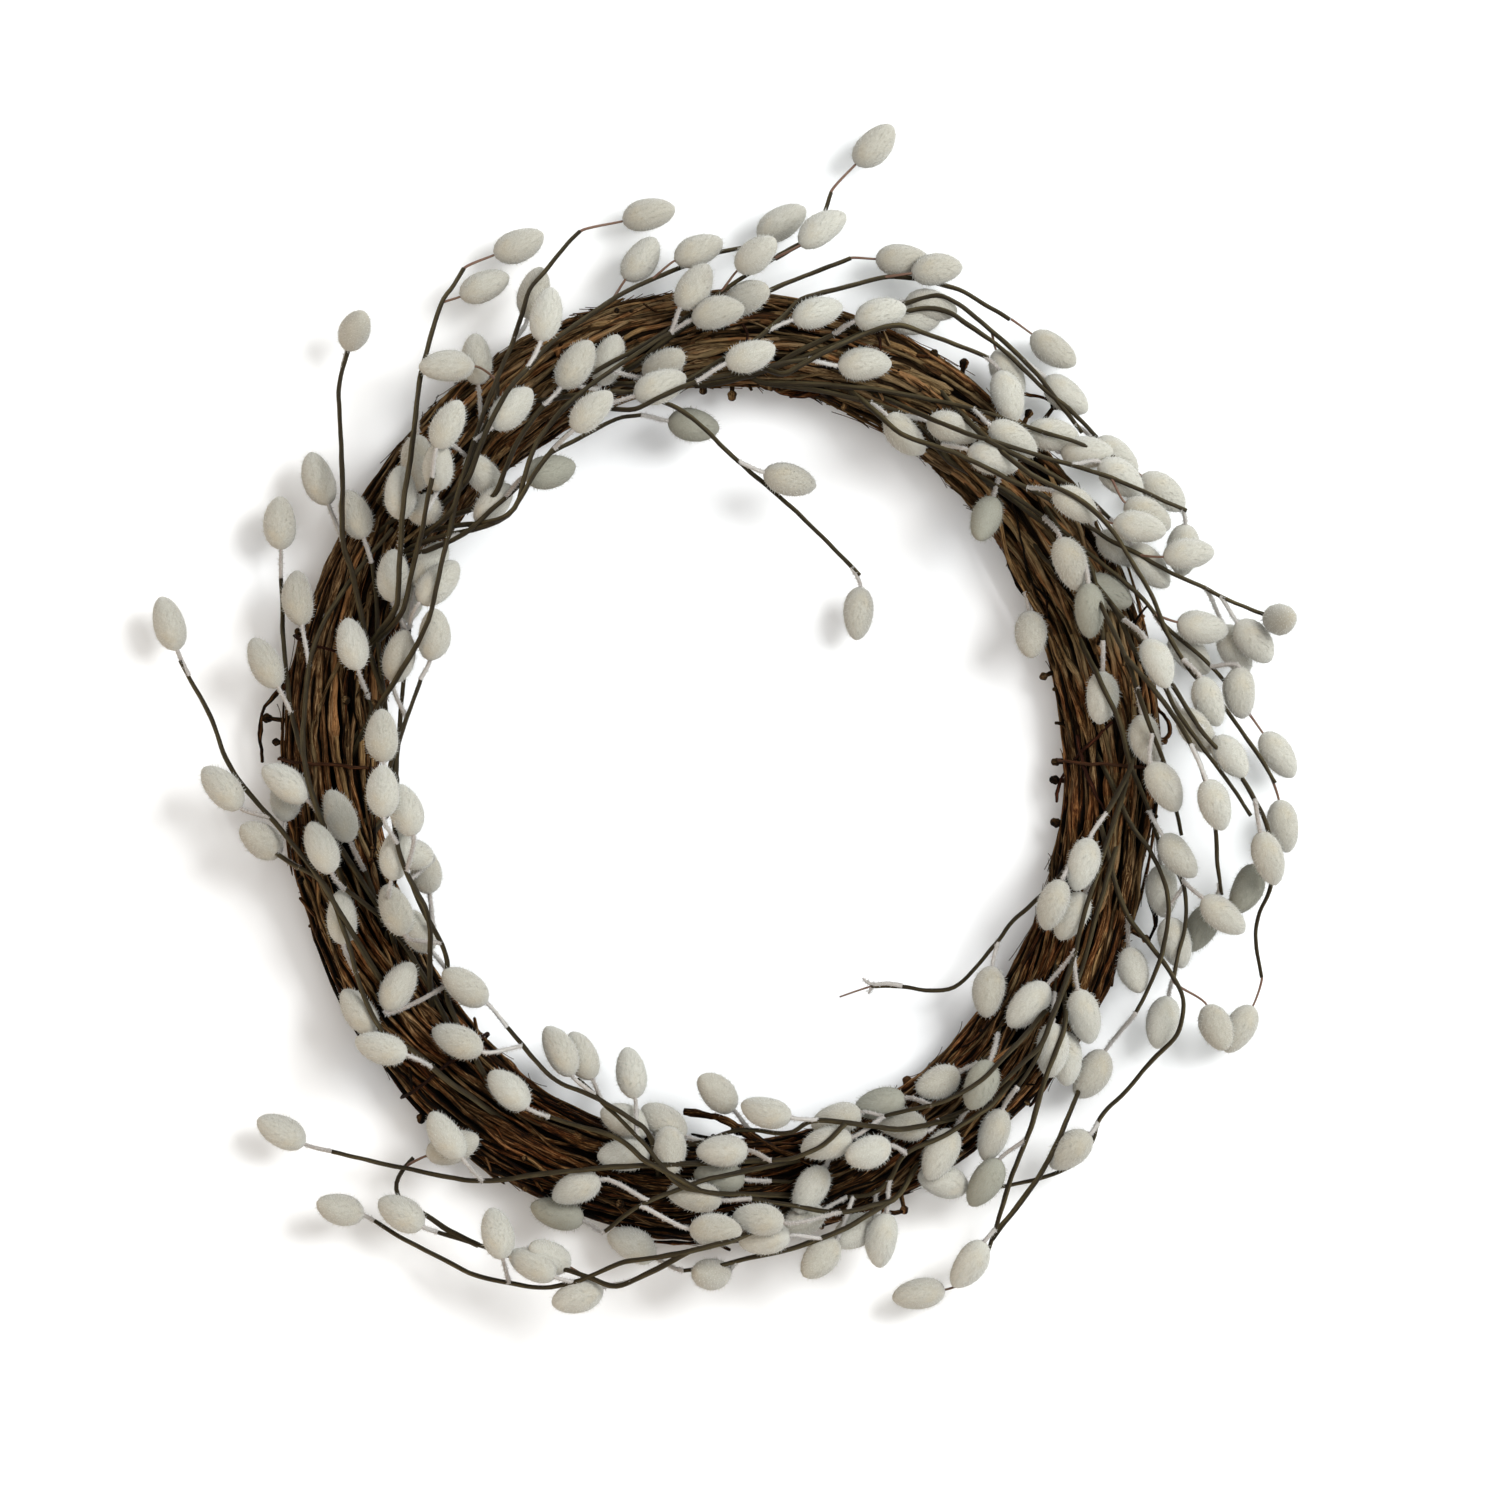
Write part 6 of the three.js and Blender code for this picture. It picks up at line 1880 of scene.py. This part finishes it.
class WREATH_OT_stalks(bpy.types.Operator):
    """Stalks of the catkins, and the downy tip of a stem"""

    bl_idname = "wreath.stalks"
    bl_label = "Stalks"

    def execute(self, context):
        sprays = context.scene.wreath.sprays
        rng = np.random.default_rng(SEEDS["stalks"])
        downy = down_material("Downy stalk", sprays.stalk, STALK_SHADE, STALK_CREAM, sheen=0.3)
        finishes = [downy, bare_material(sprays)]
        for side, names in SIDES.items():
            pile = Pile()
            add_stalks(pile, [each for name in names for each in READ[name]["catkins"]], rng)
            if TIP_SPRAY in names:
                add_tip(pile, READ[TIP_SPRAY]["stems"][0], rng)
            pile.piece(f"stalks_{side}", "spray", finishes, names)
        return {"FINISHED"}


class WREATH_OT_catkins(bpy.types.Operator):
    """White catkins with their fine hairs"""

    bl_idname = "wreath.catkins"
    bl_label = "Catkins"

    def execute(self, context):
        sprays = context.scene.wreath.sprays
        rng = np.random.default_rng(SEEDS["catkins"])
        sizes = (sprays.catkin / MM, sprays.hair / MM, sprays.hairs)
        white = down_material("Catkin down", sprays.down, sprays.shade, CATKIN_CREAM, sheen=0.5)
        down_in_painted_shade = down_material("Old catkin", sprays.down_in_painted_shade, SHADED_CATKIN_GAP, SHADED_CATKIN_CREAM, sheen=0.1)
        for side, names in SIDES.items():
            pile = Pile()
            catkins = [each for name in names for each in READ[name]["catkins"]]
            # Catkins that lie in shade get the grey material: painted shade
            for finish in (0, 1):
                chosen = [each for each in catkins if is_listed(each, CATKINS_IN_PAINTED_SHADE) == finish]
                if chosen:
                    add_catkins(pile, chosen, sizes, rng, finish)
            pile.piece(f"catkins_{side}", "spray", [white, down_in_painted_shade], names)
        return {"FINISHED"}


def make_floor(colour):
    """A square floor at height 0, of that colour with faint clouds."""
    mesh = bpy.data.meshes.new("floor")
    corners = [(x * FLOOR_REACH, y * FLOOR_REACH, 0) for x, y in ((-1, -1), (1, -1), (1, 1), (-1, 1))]
    mesh.from_pydata(corners, [], [(0, 1, 2, 3)])
    material, tree, shader = new_material("Floor")
    place = tree.add("ShaderNodeTexCoord").outputs["Object"]
    cloud = tree.add("ShaderNodeTexNoise", {"Vector": place, "Scale": 3.0}).outputs[0]
    seen = tree.mix(tree.scaled(cloud, 0.3, 0.7, 0.0, 0.02), colour, FLOOR_CLOUD)
    tree.tree.links.new(seen, shader.inputs["Base Color"])
    shader.inputs["Roughness"].default_value = 1.0
    shader.inputs["Specular IOR Level"].default_value = 0.0
    mesh.materials.append(material)
    floor = bpy.data.objects.new("floor", mesh)
    bpy.context.scene.collection.objects.link(floor)


def light_up(stage):
    """Light from all round, and square lamps that face the middle of the scene."""
    world = bpy.data.worlds.new("Studio")
    world.use_nodes = True
    background = world.node_tree.nodes["Background"]
    background.inputs["Color"].default_value = SKY
    background.inputs["Strength"].default_value = stage.fill
    bpy.context.scene.world = world
    for name, (colour, size, place) in LAMPS.items():
        lamp = bpy.data.lights.new(name, "AREA")
        lamp.energy = getattr(stage, name)
        lamp.color = colour
        lamp.size = size
        light = bpy.data.objects.new(name, lamp)
        light.location = place
        light.rotation_mode = "QUATERNION"
        light.rotation_quaternion = light.location.to_track_quat("Z", "Y")
        bpy.context.scene.collection.objects.link(light)


def place_camera():
    """A camera over the middle of the picture, so high that it sees all of the picture's square."""
    lens = bpy.data.cameras.new("camera")
    lens.lens = LENS
    lens.sensor_width = SENSOR
    lens.clip_end = FAR_END
    camera = bpy.data.objects.new("camera", lens)
    middle = plan(PICTURE_POINT)[0] * MM + CENTRE[:2]
    seen = PICTURE_SIDE * MM_PER_POINT * MM
    camera.location = (*middle, SCALE_HEIGHT + seen * LENS / SENSOR)
    scene = bpy.context.scene
    scene.collection.objects.link(camera)
    scene.camera = camera
    scene.view_settings.view_transform = "Standard"


class WREATH_OT_stage(bpy.types.Operator):
    """Floor, lights and the camera that looks straight down"""

    bl_idname = "wreath.stage"
    bl_label = "Stage"

    def execute(self, context):
        stage = context.scene.wreath.stage
        make_floor(stage.floor)
        light_up(stage)
        place_camera()
        return {"FINISHED"}


OPERATORS = (
    WREATH_OT_inner_turns,
    WREATH_OT_vines,
    WREATH_OT_crossing_vines,
    WREATH_OT_tendrils,
    WREATH_OT_stems,
    WREATH_OT_stalks,
    WREATH_OT_catkins,
    WREATH_OT_stage,
)


class WREATH_PT_panel(bpy.types.Panel):
    """Settings and steps of the wreath"""

    bl_label = "Twig Wreath"
    bl_idname = "WREATH_PT_panel"
    bl_space_type = "VIEW_3D"
    bl_region_type = "UI"
    bl_category = "Twig Wreath"

    def draw(self, context):
        settings = context.scene.wreath
        groups = {"Vines": settings.vines, "Sprays": settings.sprays, "Stage": settings.stage}
        for title, group in groups.items():
            box = self.layout.box()
            box.label(text=title)
            for name in group.__annotations__:
                box.prop(group, name)
        for operator in OPERATORS:
            self.layout.operator(operator.bl_idname)


CLASSES = (VineSettings, SpraySettings, StageSettings, WreathSettings, *OPERATORS, WREATH_PT_panel)


def register():
    """Makes the settings, the operators and the panel known, and gives each scene the settings."""
    for made in CLASSES:
        bpy.utils.register_class(made)
    bpy.types.Scene.wreath = PointerProperty(type=WreathSettings)


def unregister():
    """Takes back what register has done."""
    del bpy.types.Scene.wreath
    for made in reversed(CLASSES):
        bpy.utils.unregister_class(made)


def main():
    """Makes every piece in order."""
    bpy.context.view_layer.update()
    register()
    for operator in OPERATORS:
        group, name = operator.bl_idname.split(".")
        getattr(getattr(bpy.ops, group), name)()


if __name__ == "__main__":
    main()
